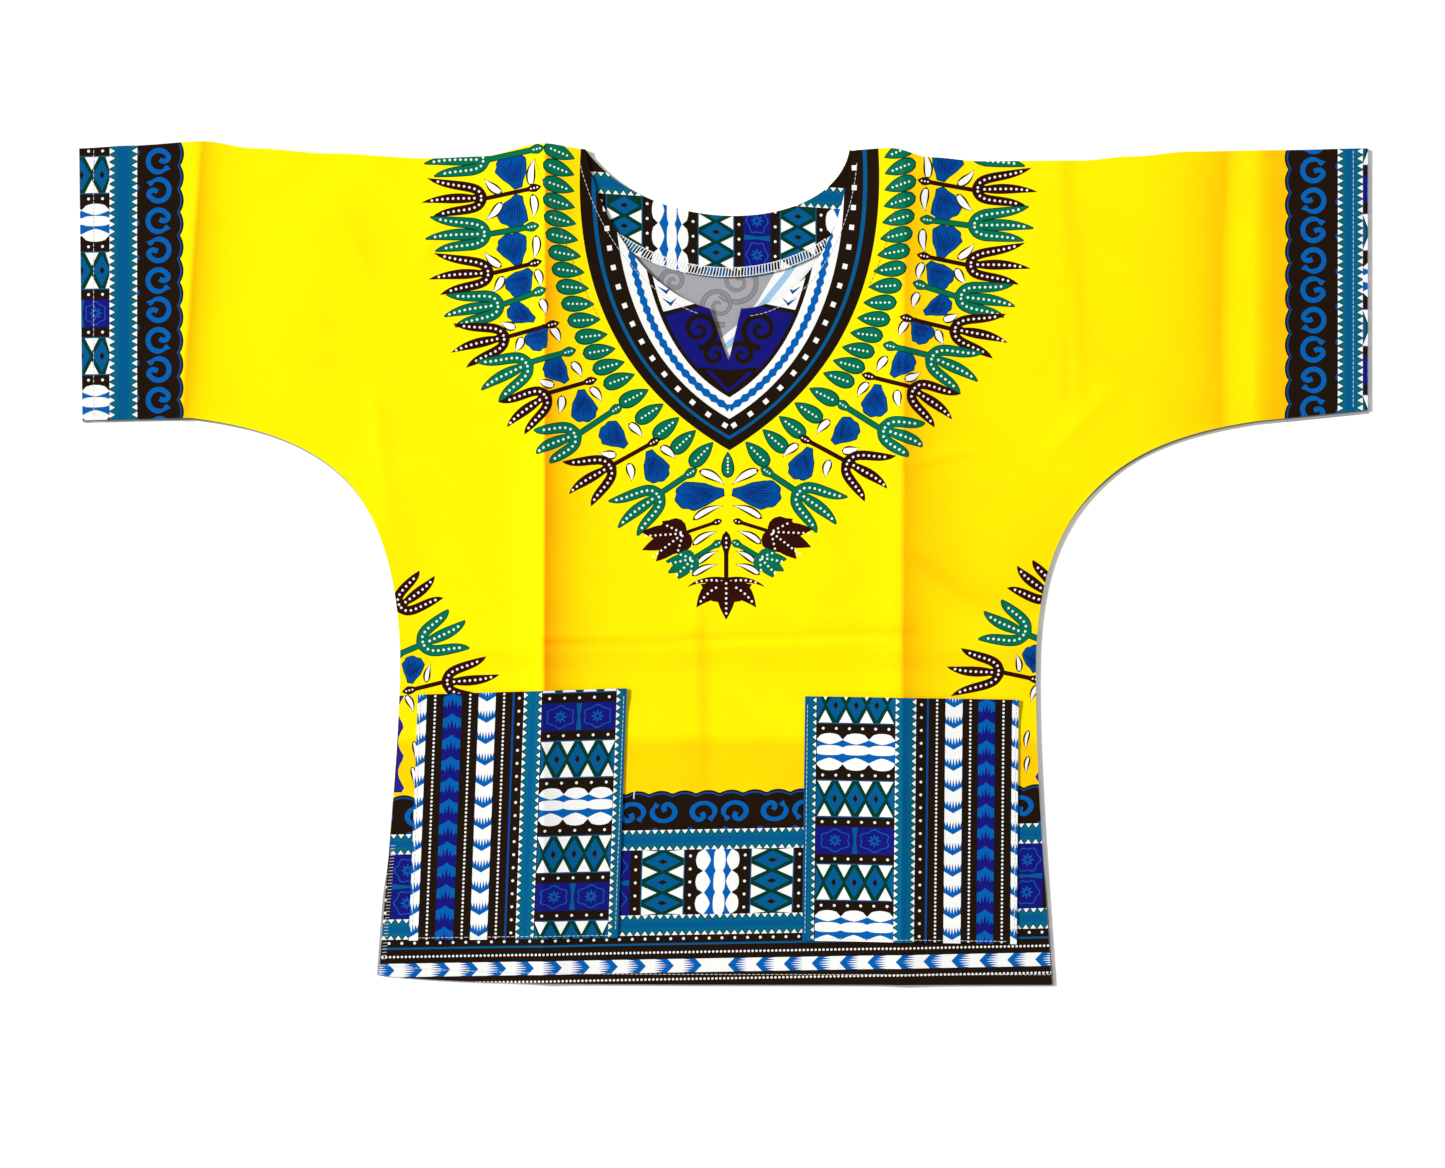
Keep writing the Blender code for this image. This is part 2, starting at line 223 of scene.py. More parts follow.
def paint(centres, marks, ground):
    """Ink number of each triangle: that of the last mark to hold its centre, or the ground."""
    order = np.argsort(centres[:, 0])
    x, y = centres[order].T
    inks = np.full(len(centres), INK_NUMBER[ground])
    for ink, shape in marks:
        first, last = np.searchsorted(x, [shape[:, 0].min(), shape[:, 0].max()])
        level = (y[first:last] > shape[:, 1].min()) & (y[first:last] < shape[:, 1].max())
        near = order[first:last][level]
        if len(near):
            inks[near[inside_outline(centres[near], shape)]] = INK_NUMBER[ink]
    return inks


def largest(corners, faces, held):
    """Number of the largest triangle among those held."""
    one, two = (corners[faces[:, i]] - corners[faces[:, 0]] for i in (1, 2))
    area = np.abs(one[:, 0] * two[:, 1] - one[:, 1] * two[:, 0])
    return int(np.argmax(area * held))


def reached(faces, border, start):
    """Triangles that can be walked to from the starting one without crossing the border."""
    beside = {}
    for number, (a, b, c) in enumerate(faces.tolist()):
        beside[a, b] = beside[b, c] = beside[c, a] = number
    kept = np.zeros(len(faces), bool)
    kept[start] = True
    waiting = [start]
    while waiting:
        a, b, c = faces[waiting.pop()].tolist()
        for one, two in ((a, b), (b, c), (c, a)):
            other = beside.get((two, one), -1)
            if other >= 0 and not kept[other] and (min(one, two), max(one, two)) not in border:
                kept[other] = True
                waiting.append(other)
    return kept


EDGE_CLEAR = 1.5
SAME_POINT = 0.004


def fill(outline, marks, points, lines, ground):
    """Triangles inside an outline, cut along every mark and line, and the ink of each."""
    low, high = outline.min(0), outline.max(0)
    marks = [mark for mark in marks
             if (mark[1].max(0) > low).all() and (mark[1].min(0) < high).all()]
    closed = [outline] + [mark[1] for mark in marks]
    flat, joined = [], []
    first = 0
    for shape in closed + list(lines):
        number = first + np.arange(len(shape))
        ring = pair(number, np.roll(number, -1))
        joined.append(ring if len(flat) < len(closed) else ring[:-1])
        flat.append(shape)
        first += len(shape)
    clear = inside_outline(points, outline) & (edge_distance(points, outline) > EDGE_CLEAR)
    flat.append(points[clear])
    every = np.concatenate(flat)
    made = delaunay_2d_cdt(
        [Vector(point) for point in every.tolist()], np.concatenate(joined).tolist(), [],
        1, SAME_POINT, True)
    corners = np.array([tuple(corner) for corner in made[0]])
    faces = np.array(made[2])
    border = {tuple(sorted(edge)) for edge, sources in zip(made[1], made[4])
              if any(source < len(outline) for source in sources)}
    centres = corners[faces].mean(1)
    kept = reached(faces, border, largest(corners, faces, inside_outline(centres, outline)))
    place = np.full(len(outline), -1)
    for number, sources in enumerate(made[3]):
        for source in sources:
            if source < len(outline):
                place[source] = number
    return corners, faces[kept], paint(centres[kept], marks, ground), place


def slopes(height, points, reach=0.4):
    """Upward normals of a height over points, from its rise over a short way across and along."""
    across = height(points + [reach, 0.0]) - height(points - [reach, 0.0])
    along = height(points + [0.0, reach]) - height(points - [0.0, reach])
    normal = np.column_stack([-across / (2 * reach), -along / (2 * reach), np.ones(len(points))])
    return normal / np.linalg.norm(normal, axis=1)[:, None]


BAKE_MARGIN = 0.005
HIDDEN_SHARE = 0.5


def make_sheet(name, outline, printed, plain, marks, points, ground="yellow", wrong="wrong",
               ghost=(), plain_points=None, lines=(), gold_and_painted_shade=None):
    """One panel as a closed shell: its printed side, its wrong side and the rim between them.

    printed and plain give each side's height. The printed side is cut along every mark, and
    its own border then bounds the wrong side, so that the rim joins them point to point."""
    faces_up = 1.0 if printed(outline[:1])[0] > plain(outline[:1])[0] else -1.0
    flat_a, faces_a, inks_a = fill(outline, marks, points, lines, ground)[:3]
    sides = np.concatenate([faces_a[:, [0, 1]], faces_a[:, [1, 2]], faces_a[:, [2, 0]]])
    taken = {(a, b) for a, b in sides.tolist()}
    border = [(a, b) for a, b in sides.tolist() if (b, a) not in taken]
    follows = dict(border)
    order = [border[0][0]]
    while follows[order[-1]] != order[0]:
        order.append(follows[order[-1]])
    order = np.array(order)
    plain_points = points if plain_points is None else plain_points
    flat_b, faces_b, inks_b, place = fill(flat_a[order], ghost, plain_points, (), wrong)
    used_a, faces_a = np.unique(faces_a, return_inverse=True)
    flat_a, faces_a = flat_a[used_a], faces_a.reshape(-1, 3)
    order = np.searchsorted(used_a, order)
    count = len(flat_a)
    top, bottom = order, place + count
    after = np.roll(top, -1)
    below = np.roll(bottom, -1)
    rim = np.concatenate([np.stack([after, top, bottom], 1), np.stack([after, bottom, below], 1)])
    faces = np.concatenate([faces_a, faces_b[:, ::-1] + count, rim])
    if faces_up < 0:
        faces = faces[:, ::-1]
    flat = np.concatenate([flat_a, flat_b])
    height = np.concatenate([printed(flat_a), plain(flat_b)])
    normal_a = slopes(printed, flat_a) * faces_up
    normal_b = slopes(plain, flat_b) * -faces_up
    normals = np.concatenate([normal_a, normal_b])[faces]
    run = flat_a[np.roll(order, -1)] - flat_a[np.roll(order, 1)]
    out = np.stack([run[:, 1], -run[:, 0], np.zeros(len(run))], 1)
    outward = np.zeros((len(flat), 3))
    outward[top] = out / np.linalg.norm(out, axis=1)[:, None]
    outward[bottom] = outward[top]
    normals[-len(rim):] = outward[faces[-len(rim):]]
    rim_ink = np.zeros(count, int)
    rim_ink[faces_a.ravel()] = np.repeat(inks_a, 3)
    ink = np.concatenate([inks_a, inks_b, np.tile(rim_ink[top], 2)])
    colours = np.ones((len(faces), 3, 4))
    colours[:, :, :3] = np.array([linear(colour) for colour in INKS.values()])[ink][:, None]
    # Painted shade and gold on the yellow: its green share lowered by the golden share at each corner
    if gold_and_painted_shade is not None:
        dyed = ink == INK_NUMBER["yellow"]
        colours[dyed, :, 1] *= 1.0 - PAINTED_SHADE_DEPTH * gold_and_painted_shade(flat)[faces[dyed]]
    low, high = outline.min(0), outline.max(0)
    scale = (1.0 - 2 * BAKE_MARGIN) / max(high - low)
    shown = (flat_a - low) * scale + [BAKE_MARGIN, 1.0 - BAKE_MARGIN - (high - low)[1] * scale]
    hidden = (flat_b - low) * scale * HIDDEN_SHARE + BAKE_MARGIN
    spread = np.concatenate([shown, hidden])
    bake = spread[faces]
    rim_source = np.zeros(len(flat), int)
    rim_source[top], rim_source[bottom] = top, top
    bake[-len(rim):] = spread[rim_source[faces[-len(rim):]]]
    mesh = bpy.data.meshes.new(name)
    mesh.from_pydata(np.column_stack([flat, height]) * METRE, [], faces.tolist())
    mesh.attributes.new("ink", "FLOAT_COLOR", "CORNER").data.foreach_set("color", colours.ravel())
    mesh.uv_layers.new(name="OFBake").uv.foreach_set("vector", bake.ravel())
    mesh.shade_smooth()
    mesh.normals_split_custom_set(normals.reshape(-1, 3).tolist())
    panel = bpy.data.objects.new(name, mesh)
    bpy.context.scene.collection.objects.link(panel)
    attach(panel, "root")
    return panel


def node(tree, kind, inputs, **options):
    """One node of a material: its options, and each input a number or another node's output."""
    made = tree.nodes.new("ShaderNode" + kind)
    for key, value in options.items():
        setattr(made, key, value)
    for key, value in inputs.items():
        if isinstance(value, bpy.types.NodeSocket):
            tree.links.new(value, made.inputs[key])
        else:
            made.inputs[key].default_value = value
    return made


def new_material(name, finish):
    """A node material, and its shader with the colour, roughness and the like as given."""
    material = bpy.data.materials.new(name)
    material.use_nodes = True
    shader = material.node_tree.nodes["Principled BSDF"]
    for key, value in finish.items():
        shader.inputs[key].default_value = value
    return material, shader


def cotton(name, mottle, grain, weave):
    """Printed plain-weave cotton: the ink, a slow and a fine unevenness of the dye, a thread
    texture as bump, and the soft sheen of the fibres. Colour is ink times both unevennesses."""
    material, shader = new_material(name, {
        "Roughness": 0.82, "Specular IOR Level": 0.03, "Sheen Weight": 0.01, "Sheen Roughness": 0.5})
    tree = material.node_tree
    place = node(tree, "TexCoord", {}).outputs["Object"]
    ink = node(tree, "Attribute", {}, attribute_name="ink").outputs["Color"]
    uneven = {}
    for number, (scale, detail, rough, reach) in enumerate(
            ((28.0, 3.0, 0.55, mottle), (900.0, 2.0, 0.6, grain))):
        fine = node(tree, "TexNoise", {
            "Vector": place, "Scale": scale, "Detail": detail, "Roughness": rough}).outputs["Fac"]
        uneven[number] = node(tree, "MapRange", {
            "Value": fine, "From Min": 0.3, "From Max": 0.7,
            "To Min": 1.0 - reach, "To Max": 1.0 + reach}).outputs["Result"]
    both = node(tree, "Math", uneven, operation="MULTIPLY").outputs["Value"]
    dyed = node(tree, "VectorMath", {0: ink, "Scale": both}, operation="SCALE").outputs["Vector"]
    threads = {}
    for number, way in enumerate("XY"):
        threads[number] = node(tree, "TexWave", {
            "Vector": place, "Scale": weave, "Distortion": 0.6}, bands_direction=way).outputs["Fac"]
    crossed = node(tree, "Math", threads, operation="MULTIPLY").outputs["Value"]
    raised = node(tree, "Math", {0: crossed, 1: fine}, operation="ADD").outputs["Value"]
    bump = node(tree, "Bump", {"Height": raised, "Strength": 0.35, "Distance": 0.00008})
    tree.links.new(dyed, shader.inputs["Base Color"])
    tree.links.new(bump.outputs["Normal"], shader.inputs["Normal"])
    return material


cloth = cotton("printed_cotton", 0.025, 0.03, 520.0)

# Strips of the print, drawn along s and across t, then laid on the cloth by a place function.
# The middle line drifts, the rows skew with the weave, and motifs repeat at these pitches
PRINT_SKEW = 0.0175
AXIS_X = 3.7
AXIS_DRIFT = 0.0285
AXIS_TURN_Y = 70.0
DOT_PITCH = 2.45
DOT_RADIUS = 0.8
SPACED_PITCH = 8.0
SPACED_RADIUS = 0.95
TOOTH_PITCH = 4.65
DIAMOND_PITCH = 12.8
LOBE_PITCH = 14.9
FLOWER_PITCH = 22.0
PLUME_PITCH = 13.4
ARROW_PITCH = 17.3
PANEL_ORDER = ("wavy", "dots", "diamonds", "dots", "flowers", "dots", "diamonds", "dots")
PANEL_SIZES = dict(wavy=23.6, dots=6.0, diamonds=23.6, flowers=17.4)


def lay(marks, place):
    """The same marks, with each point put where place says."""
    return [(ink, place(shape)) for ink, shape in marks]


def slab(ink, s0, s1, t0, t1, step=12.0):
    """A plain band, its long edges cut into short steps so that it can bend."""
    s = np.linspace(s0, s1, max(1, int(round(abs(s1 - s0) / step))) + 1)
    low = pair(s, np.full(len(s), t0))
    high = pair(s[::-1], np.full(len(s), t1))
    return [(ink, np.concatenate([low, high]))]


def spots(ink, centres, radius, sides=6):
    """A small round spot at each centre."""
    turn = np.arange(sides) * 2 * np.pi / sides
    ring = radius * pair(np.cos(turn), np.sin(turn))
    return [(ink, np.array(centre) + ring) for centre in centres]


def middles(start, end, pitch):
    """Middles of the even steps between two places that come nearest to a pitch."""
    count = max(1, int(round((end - start) / pitch)))
    return start + (np.arange(count) + 0.5) * (end - start) / count


def dot_row(s0, s1, t, pitch, radius):
    """White spots in a row from s0 to s1, evenly spaced."""
    s = middles(s0, s1, pitch)
    return spots("white", pair(s, np.full(len(s), t)), radius)


def beaded(s0, s1, t0, t1):
    """A black band with a close row of spots along its middle."""
    return slab("black", s0, s1, t0, t1) + dot_row(s0, s1, (t0 + t1) / 2, DOT_PITCH, DOT_RADIUS)


def spaced(s0, s1, t0, t1):
    """White spots set wider apart, along the middle of a strip."""
    return dot_row(s0, s1, (t0 + t1) / 2, SPACED_PITCH, SPACED_RADIUS)


def sawtooth(s0, s1, t0, t1, tooth=2.7, pitch=TOOTH_PITCH):
    """A teal band, bluer along its middle, with white teeth edged in dark green on both sides."""
    inner = tooth + 1.5
    marks = slab("teal", s0, s1, t0, t1) + slab("blue", s0, s1, t0 + inner, t1 - inner)
    middle = middles(s0, s1, pitch)
    step = (s1 - s0) / len(middle)
    tooth_shape = np.array([(-step, 0.0), (step, 0.0), (0.0, 1.0)])
    for edge, into in ((t0, 1.0), (t1, -1.0)):
        for s in middle:
            for ink, half, deep in (("pine", 0.5, tooth + 0.9), ("white", 0.4, tooth - 0.2)):
                marks.append((ink, tooth_shape * [half, into * deep] + [s, edge]))
    return marks


DIAMOND = np.array([(-1.0, 0.0), (0.0, 1.0), (1.0, 0.0), (0.0, -1.0)])


def diamonds(s0, s1, t0, t1):
    """Blue diamonds side by side with a dark heart each, and white triangles between them."""
    middle, half, wide = (s0 + s1) / 2, (s1 - s0) / 2 - 0.7, DIAMOND_PITCH / 2
    cell = [("blue", DIAMOND * 0.88), ("black", DIAMOND * 0.24)]
    cell += [("white", np.array([(end, 0.34), (end, 1.66), (end * 0.27, 1.0)])) for end in (-1.0, 1.0)]
    marks = slab("blue", s0, s1, t0, t1) + slab("pine", s0 + 0.7, s1 - 0.7, t0, t1)
    count = int(np.ceil((t1 - t0) / DIAMOND_PITCH)) + 1
    for place in (t0 + t1) / 2 + np.arange(-count, count + 1) * DIAMOND_PITCH:
        if t0 - wide <= place <= t1 + wide:
            for ink, shape in cell:
                shape = shape * [half, wide] + [middle, place]
                marks.append((ink, np.clip(shape, [s0, t0], [s1, t1])))
    return marks


def wavy(s0, s1, t0, t1):
    """White lobes, a notched blue band, white lenses, a second blue band and lobes again."""
    lobes = len(middles(t0, t1, LOBE_PITCH))
    t = np.linspace(t0, t1, 6 * lobes + 1)
    off = np.abs(((t - t0) / (t1 - t0) * lobes) % 1.0 * 2.0 - 1.0)
    off[-1] = 1.0
    cusp = 1.0 - np.sqrt(np.clip(1.0 - off ** 2, 0.0, 1.0))
    marks = slab("white", s0, s1, t0, t1)
    for ink, low, high in (
            ("black", 0.0 * t, 0.17 * cusp), ("sky", 0.34 - 0.14 * off ** 1.4, 0.41 + 0.05 * cusp),
            ("sky", 0.68 - 0.06 * cusp, 0.70 + 0.12 * off ** 1.4),
            ("black", 1.0 - 0.17 * cusp, 0.0 * t + 1.0)):
        one, two = (pair(s0 + (s1 - s0) * share, t) for share in (low, high))
        marks.append((ink, np.concatenate([one, two[::-1]])))
    return marks


def flowers(s0, s1, t0, t1):
    """Navy with a lobed medallion round an eight-petalled flower, and a bracket between two."""
    marks = slab("navy", s0, s1, t0, t1)
    middle, half = (s0 + s1) / 2, (s1 - s0) / 2
    places = middles(t0, t1, FLOWER_PITCH)
    step = (t1 - t0) / len(places)
    turn = np.linspace(0.0, 2 * np.pi, 40, endpoint=False)
    lobed = (1.0 + 0.10 * np.cos(6 * turn))[:, None] * pair(np.cos(turn), np.sin(turn))
    for place in places:
        for ink, inset in (("sky", 0.0), ("navy", 0.55)):
            marks.append((ink, lobed * [half * 0.78 - inset, step * 0.37 - inset] + [middle, place]))
        for way in np.arange(8) * np.pi / 4:
            petal = np.linspace(0.9, 3.9, 4)[:, None] * [np.cos(way), np.sin(way)]
            marks.append(("sky", stroke(petal + [middle, place], [0.15, 0.6, 0.55, 0.1])))
    bracket = [(-0.95, -1.7), (0.0, -0.7), (0.95, -1.7), (0.95, 1.7), (0.0, 0.7), (-0.95, 1.7)]
    for place in t0 + np.arange(1, len(places)) * step:
        marks.append(("blue", np.array(bracket) * [half, 1.0] + [middle, place]))
    return marks


def spotted(s0, s1, t0, t1):
    """A black cross-band with a few white spots, the divider between two motifs of a panel."""
    t = middles(t0, t1, SPACED_PITCH / 0.93)
    spot = pair(np.full(len(t), (s0 + s1) / 2), t)
    return slab("black", s0, s1, t0, t1) + spots("white", spot, SPACED_RADIUS)


MOTIFS = dict(wavy=wavy, dots=spotted, diamonds=diamonds, flowers=flowers)


def panel_strip(s0, s1, t0, t1, first=0, begun=0.0, stretch=1.0):
    """Motifs one after another along a strip, from a given one, of which begun is gone."""
    marks = []
    s = s0 - begun
    number = first
    while s < s1:
        name = PANEL_ORDER[number % len(PANEL_ORDER)]
        end = s + PANEL_SIZES[name] * stretch
        marks += MOTIFS[name](s, end, t0, t1)
        s = end
        number += 1
    return marks


def stroke(line, half_widths):
    """Outline of a line drawn with a changing half-width: its two sides, set off square to it."""
    run = np.gradient(line, axis=0)
    side = pair(-run[:, 1], run[:, 0])
    side /= np.linalg.norm(run, axis=1)[:, None] + 1e-9
    reach = side * np.broadcast_to(half_widths, len(line))[:, None]
    return np.concatenate([line + reach, (line - reach)[::-1]])


def plume(s, t0, t1, long=8.2, arm=3.2):
    """A feather: a point at s, two arms that sweep on from it, and a comb of seven tines."""
    share = np.linspace(-1.0, 1.0, 13)
    front = np.abs(share) * arm
    back = np.where(np.arange(13) % 2 == 0, long, front + 0.32 * long)
    t = (t0 + t1) / 2 + share * (t1 - t0) / 2
    return [("sky", np.concatenate([pair(s + front, t), pair(s + back, t)[::-1]]))]


def feathers(s0, s1, t0, t1):
    """A white column of feathers, one above another, pointing back along it."""
    marks = slab("white", s0, s1, t0, t1)
    for s in np.arange(s0 + 2.0, s1, PLUME_PITCH):
        marks += plume(s, t0, t1)
    return marks


def arrows(s0, s1, t0, t1):
    """A white row of larger feathers, set further apart."""
    marks = slab("white", s0, s1, t0, t1)
    for s in np.arange(s0 + 8.0, s1, ARROW_PITCH):
        marks += plume(s, t0, t1, long=12.0, arm=4.0)
    return marks


HOOD = np.array([
    (2.4, -1.0), (8.4, -1.0), (9.6, -0.45), (11.6, 0.0), (9.6, 0.45), (8.4, 1.0), (2.4, 1.0),
    (3.4, 0.78), (1.6, 0.55), (6.6, 0.42), (2.2, 0.22), (8.0, 0.0), (2.2, -0.22), (6.6, -0.42),
    (1.6, -0.55), (3.4, -0.78)])


def chevrons(s0, s1, t0, t1):
    """A navy column of pointed blue hoods, each with three dark flames cut in at its foot."""
    marks = slab("navy", s0, s1, t0, t1)
    for s in np.arange(s0 - 3.0, s1, PLUME_PITCH):
        shape = HOOD * [1.0, (t1 - t0) / 2] + [s, (t0 + t1) / 2]
        marks.append(("sky", np.clip(shape, [s0, t0], [s1, t1])))
    return marks


def scroll(centre, reach, hand, up):
    """An open ring that ends in a hook with a round knob, flipped by hand and up."""
    turn = np.radians(np.linspace(-62.0, 232.0, 26))
    ring = pair(np.cos(turn), np.sin(turn)) * 0.82
    bend = bezier(ring[-1], (-0.30, -1.0), (0.25, -0.55), (-0.12, -0.08), 8)[1:]
    line = np.concatenate([ring, bend])
    wide = 0.19 * np.minimum(1.0, np.linspace(0.35, 4.0, len(line)))
    flip = np.array([hand, up]) * reach
    marks = [("sky", stroke(line, wide) * flip + centre)]
    knob = np.array([(0.30, -0.62), (0.62, -0.95), (0.78, -0.52), (0.50, -0.36)])
    return marks + [("sky", knob * flip + centre)]


def scroll_band(places, t0, t1, reach, ends):
    """A black band with scrolls, a scalloped outer edge, and a fine blue line inside it."""
    s = np.linspace(ends[0], ends[1], int((ends[1] - ends[0]) / 1.6) + 1)
    cup = 2.4 * np.abs(np.sin(np.pi * s / 14.5)) ** 0.7
    marks = []
    for ink, inset in (("black", 0.0), ("cobalt", 1.2), ("black", 2.1)):
        top = pair(s, t1 - 2.4 + cup - inset)
        foot = pair(s[[-1, 0]], [t0, t0])
        marks.append((ink, np.concatenate([top, foot])))
    middle = (t0 + t1 - 2.4) / 2
    for place, hand, up in places:
        marks += scroll((place, middle), reach, hand, up)
    half = np.radians(np.linspace(0.0, 180.0, 7))
    for place in np.arange(ends[0] + 9.0, ends[1], 21.7):
        moon = pair(np.cos(half) * 2.0, np.sin(half) * 1.5)
        marks.append(("cobalt", moon + [place, t0]))
    return marks


def print_axis(y):
    """Place across of the print's middle line: it drifts to the left below the neck ring."""
    return AXIS_X + AXIS_DRIFT * np.minimum(y - AXIS_TURN_Y, 0.0)


def on_hem(points):
    """Along the hem from the print's middle line, and up from the hem, skewed with the weave."""
    x = print_axis(HEM_Y + points[:, 1]) + points[:, 0]
    return pair(x, HEM_Y + points[:, 1] + PRINT_SKEW * x)


def strips(rows, long, panel):
    """Strips side by side, each of one kind or one ink, between two places across."""
    marks = []
    for kind, t0, t1 in rows:
        if kind == "panel":
            marks += panel_strip(0.0, long, t0, t1, *panel)
        elif kind in INKS:
            marks += slab(kind, 0.0, long, t0, t1)
        else:
            marks += kind(0.0, long, t0, t1)
    return marks


# The border's rows by their height above the hem, and how its panel starts and stretches
HEM_ROWS = [
    ("black", -8.0, 0.0), (beaded, 0.0, 8.3), (arrows, 8.3, 16.7), (beaded, 16.7, 25.0),
    ("black", 25.0, 31.6), ("blue", 25.4, 26.6), (spaced, 27.0, 31.6), (sawtooth, 31.6, 44.1),
    ("panel", 44.1, 84.4), (sawtooth, 84.4, 96.7)]
HEM_PANEL = (0, 13.4, 1.14)
HEM_SCROLLS = (96.7, 121.0)
HEM_REACH = 222.0
HEM_PAIR_PITCH = 44.1


def hem_marks():
    """The border above the hem, the same to both sides of the print's middle line."""
    half = strips(HEM_ROWS, HEM_REACH, HEM_PANEL)
    marks, places = [], []
    for side in (-1.0, 1.0):
        marks += lay(half, lambda points, side=side: on_hem(points * [side, 1.0]))
        for s in np.arange(0.0, HEM_REACH, HEM_PAIR_PITCH):
            places += [(side * (s + 9.7), -side, 1.0), (side * (s + 34.4), side, -1.0)]
    band = scroll_band(places, *HEM_SCROLLS, (8.6, 6.6), (-HEM_REACH, HEM_REACH))
    return marks + lay(band, on_hem)


# Each cuff's rows, by how far out they start, and the motif its panel starts with
CUFF_ROWS = {
    -1: dict(scallop=333.9, saw=363.0, panel=380.1, first=(6, 14.0)),
    1: dict(scallop=347.5, saw=380.4, panel=395.9, first=(2, 4.0))}
CUFF_LOW_Y = 78.0
CUFF_PAIR_PITCH = 37.0


def cuff_marks(hand):
    """The border along one cuff: scrolls, saw teeth and, at the very edge, the panel strip."""
    rows = CUFF_ROWS[hand]
    long = SHOULDER_Y - CUFF_LOW_Y + 12.0
    depth = HALF_SPAN + 16.0
    marks = panel_strip(0.0, long, -depth, -rows["panel"], *rows["first"])
    marks += sawtooth(0.0, long, -rows["panel"], -rows["saw"], tooth=3.6, pitch=4.53)
    marks += slab("black", 0.0, long, -rows["saw"], -rows["saw"] + 0.7)
    places = []
    for s in np.arange(4.0, long, CUFF_PAIR_PITCH):
        places += [(s + 7.0, 1.0, 1.0), (s + 25.0, -1.0, -1.0)]
    band = scroll_band(places, -rows["saw"], -rows["scallop"], (8.2, 8.0), (0.0, long))

    def on_cuff(points):
        """Up the sleeve's end and outwards along it, skewed with the weave."""
        s, t = points.T
        return pair(-hand * t, CUFF_LOW_Y + s - PRINT_SKEW * hand * t)

    return lay(marks + band, on_cuff)


def spiral(x, y, radius, turns, hand, wide):
    """Outline of a line that winds outwards from a centre, its radius growing evenly."""
    share = np.linspace(0.06, 1.0, int(20 * turns))
    turn = share * turns * 2 * np.pi
    line = pair(np.cos(turn) * hand, np.sin(turn)) * (radius * share)[:, None]
    return stroke(line + np.array([x, y]), wide * (0.5 + 0.5 * share))


# Spirals that show through on the wrong side: centre, radius, turns and hand
GHOSTS = [
    (-31.0, 174.7, 8.0, 1.5, 1.0), (9.2, 174.7, 14.0, 1.9, -1.0), (-2.8, 159.8, 12.5, 1.8, 1.0),
    (-18.0, 186.0, 9.0, 1.2, -1.0)]
PALE_EDGE = (
    (48.0, 206.0), (30.0, 177.2), (21.3, 162.3), (10.1, 149.0), (-2.0, 139.0), (-20.0, 124.0),
    (48.0, 110.0), (90.0, 206.0))
PALE_LINE = (
    (47.0, 190.0), (38.7, 178.0), (30.0, 167.2), (18.0, 152.0), (7.6, 139.0), (1.4, 134.0))


back_edge = back_outline()
ghost = [(ink, spiral(*row, wide)) for row in GHOSTS for ink, wide in (("shadow", 1.7), ("ash", 1.2))]
pale_line = chain(*[straight(a, b, 2.2) for a, b in zip(PALE_LINE, PALE_LINE[1:])])
ghost += [("white", np.array(PALE_EDGE)), ("pale", stroke(pale_line, 2.0))]
back = make_sheet(
    "back_cloth", back_edge, lambda p: np.zeros(len(p)), lambda p: np.full(len(p), BACK_WALL),
    hem_marks() + cuff_marks(-1) + cuff_marks(1), grid_points(back_edge, 20.0),
    ghost=ghost)
back.data.materials.append(cloth)
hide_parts("back")

# The neck facing
# A strip cut from the border print and sewn round the inside of the neck, its lower edge
# finished with an overlock seam. It lies on the back.
FACING_WIDTH = 31.5
FACING_UNDER = 1.5
FACING_WALL = 1.0
FACING_HANDLES = ((-70.0, 150.0), (78.0, 150.0))
FACING_TILT = -0.066
FACING_START_X = -74.0
FACING_TOP_Y = 229.0


def facing_outline():
    """Outline of the facing: its outer edge, and back along the neck."""
    outer = neck_curve(FACING_WIDTH, FACING_HANDLES)
    return chain(outer, neck_curve(0.0, BACK_NECK_HANDLES)[::-1])


def on_facing(points):
    """Along the facing from the left, and down from the panel's upper edge, slightly tilted."""
    x = FACING_START_X + points[:, 0]
    return pair(x, FACING_TOP_Y - points[:, 1] + FACING_TILT * (x - FACING_START_X))


def facing_top(points):
    """Height of the facing's printed side."""
    return np.full(len(points), FACING_UNDER + FACING_WALL)


facing_edge = facing_outline()
facing_marks = panel_strip(-46.0, 200.0, 0.0, 64.0, first=6, begun=60.5, stretch=0.96)
facing_marks += sawtooth(-60.0, 200.0, -13.0, 0.0)
facing_marks += slab("black", -60.0, 200.0, -40.0, -13.0)
facing = make_sheet(
    "facing_cloth", facing_edge, facing_top, lambda p: np.full(len(p), FACING_UNDER),
    lay(facing_marks, on_facing), grid_points(facing_edge, 8.0), ground="white")
facing.data.materials.append(cloth)
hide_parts("neck_facing")

# The front
# Cut like the back, with a round neck that runs down into a notch. The print sets a pointed
# ring of bands round the neck, leaves and sprigs round the ring, and borders at hem and cuffs.
# Pressed creases stand up where it was folded away.
FRONT_WALL = 1.2
FRONT_UNDER = 1.5
FACING_RISE = 1.3
RISE_KEPT = 14.0
RISE_ENDS = 48.0
PUFF = 1.6
PUFF_REACH = 30.0
EDGE_SHARE = 0.45
NECK_LEFT_HANDLES = ((-77.0, 209.0), (-44.0, 166.0))
NOTCH_LEFT = (-8.6, 157.7)
NOTCH_POINT = (3.2, 125.1)
NOTCH_RIGHT = (10.9, 157.7)
NECK_RIGHT_HANDLES = ((50.0, 158.0), (77.0, 208.0))
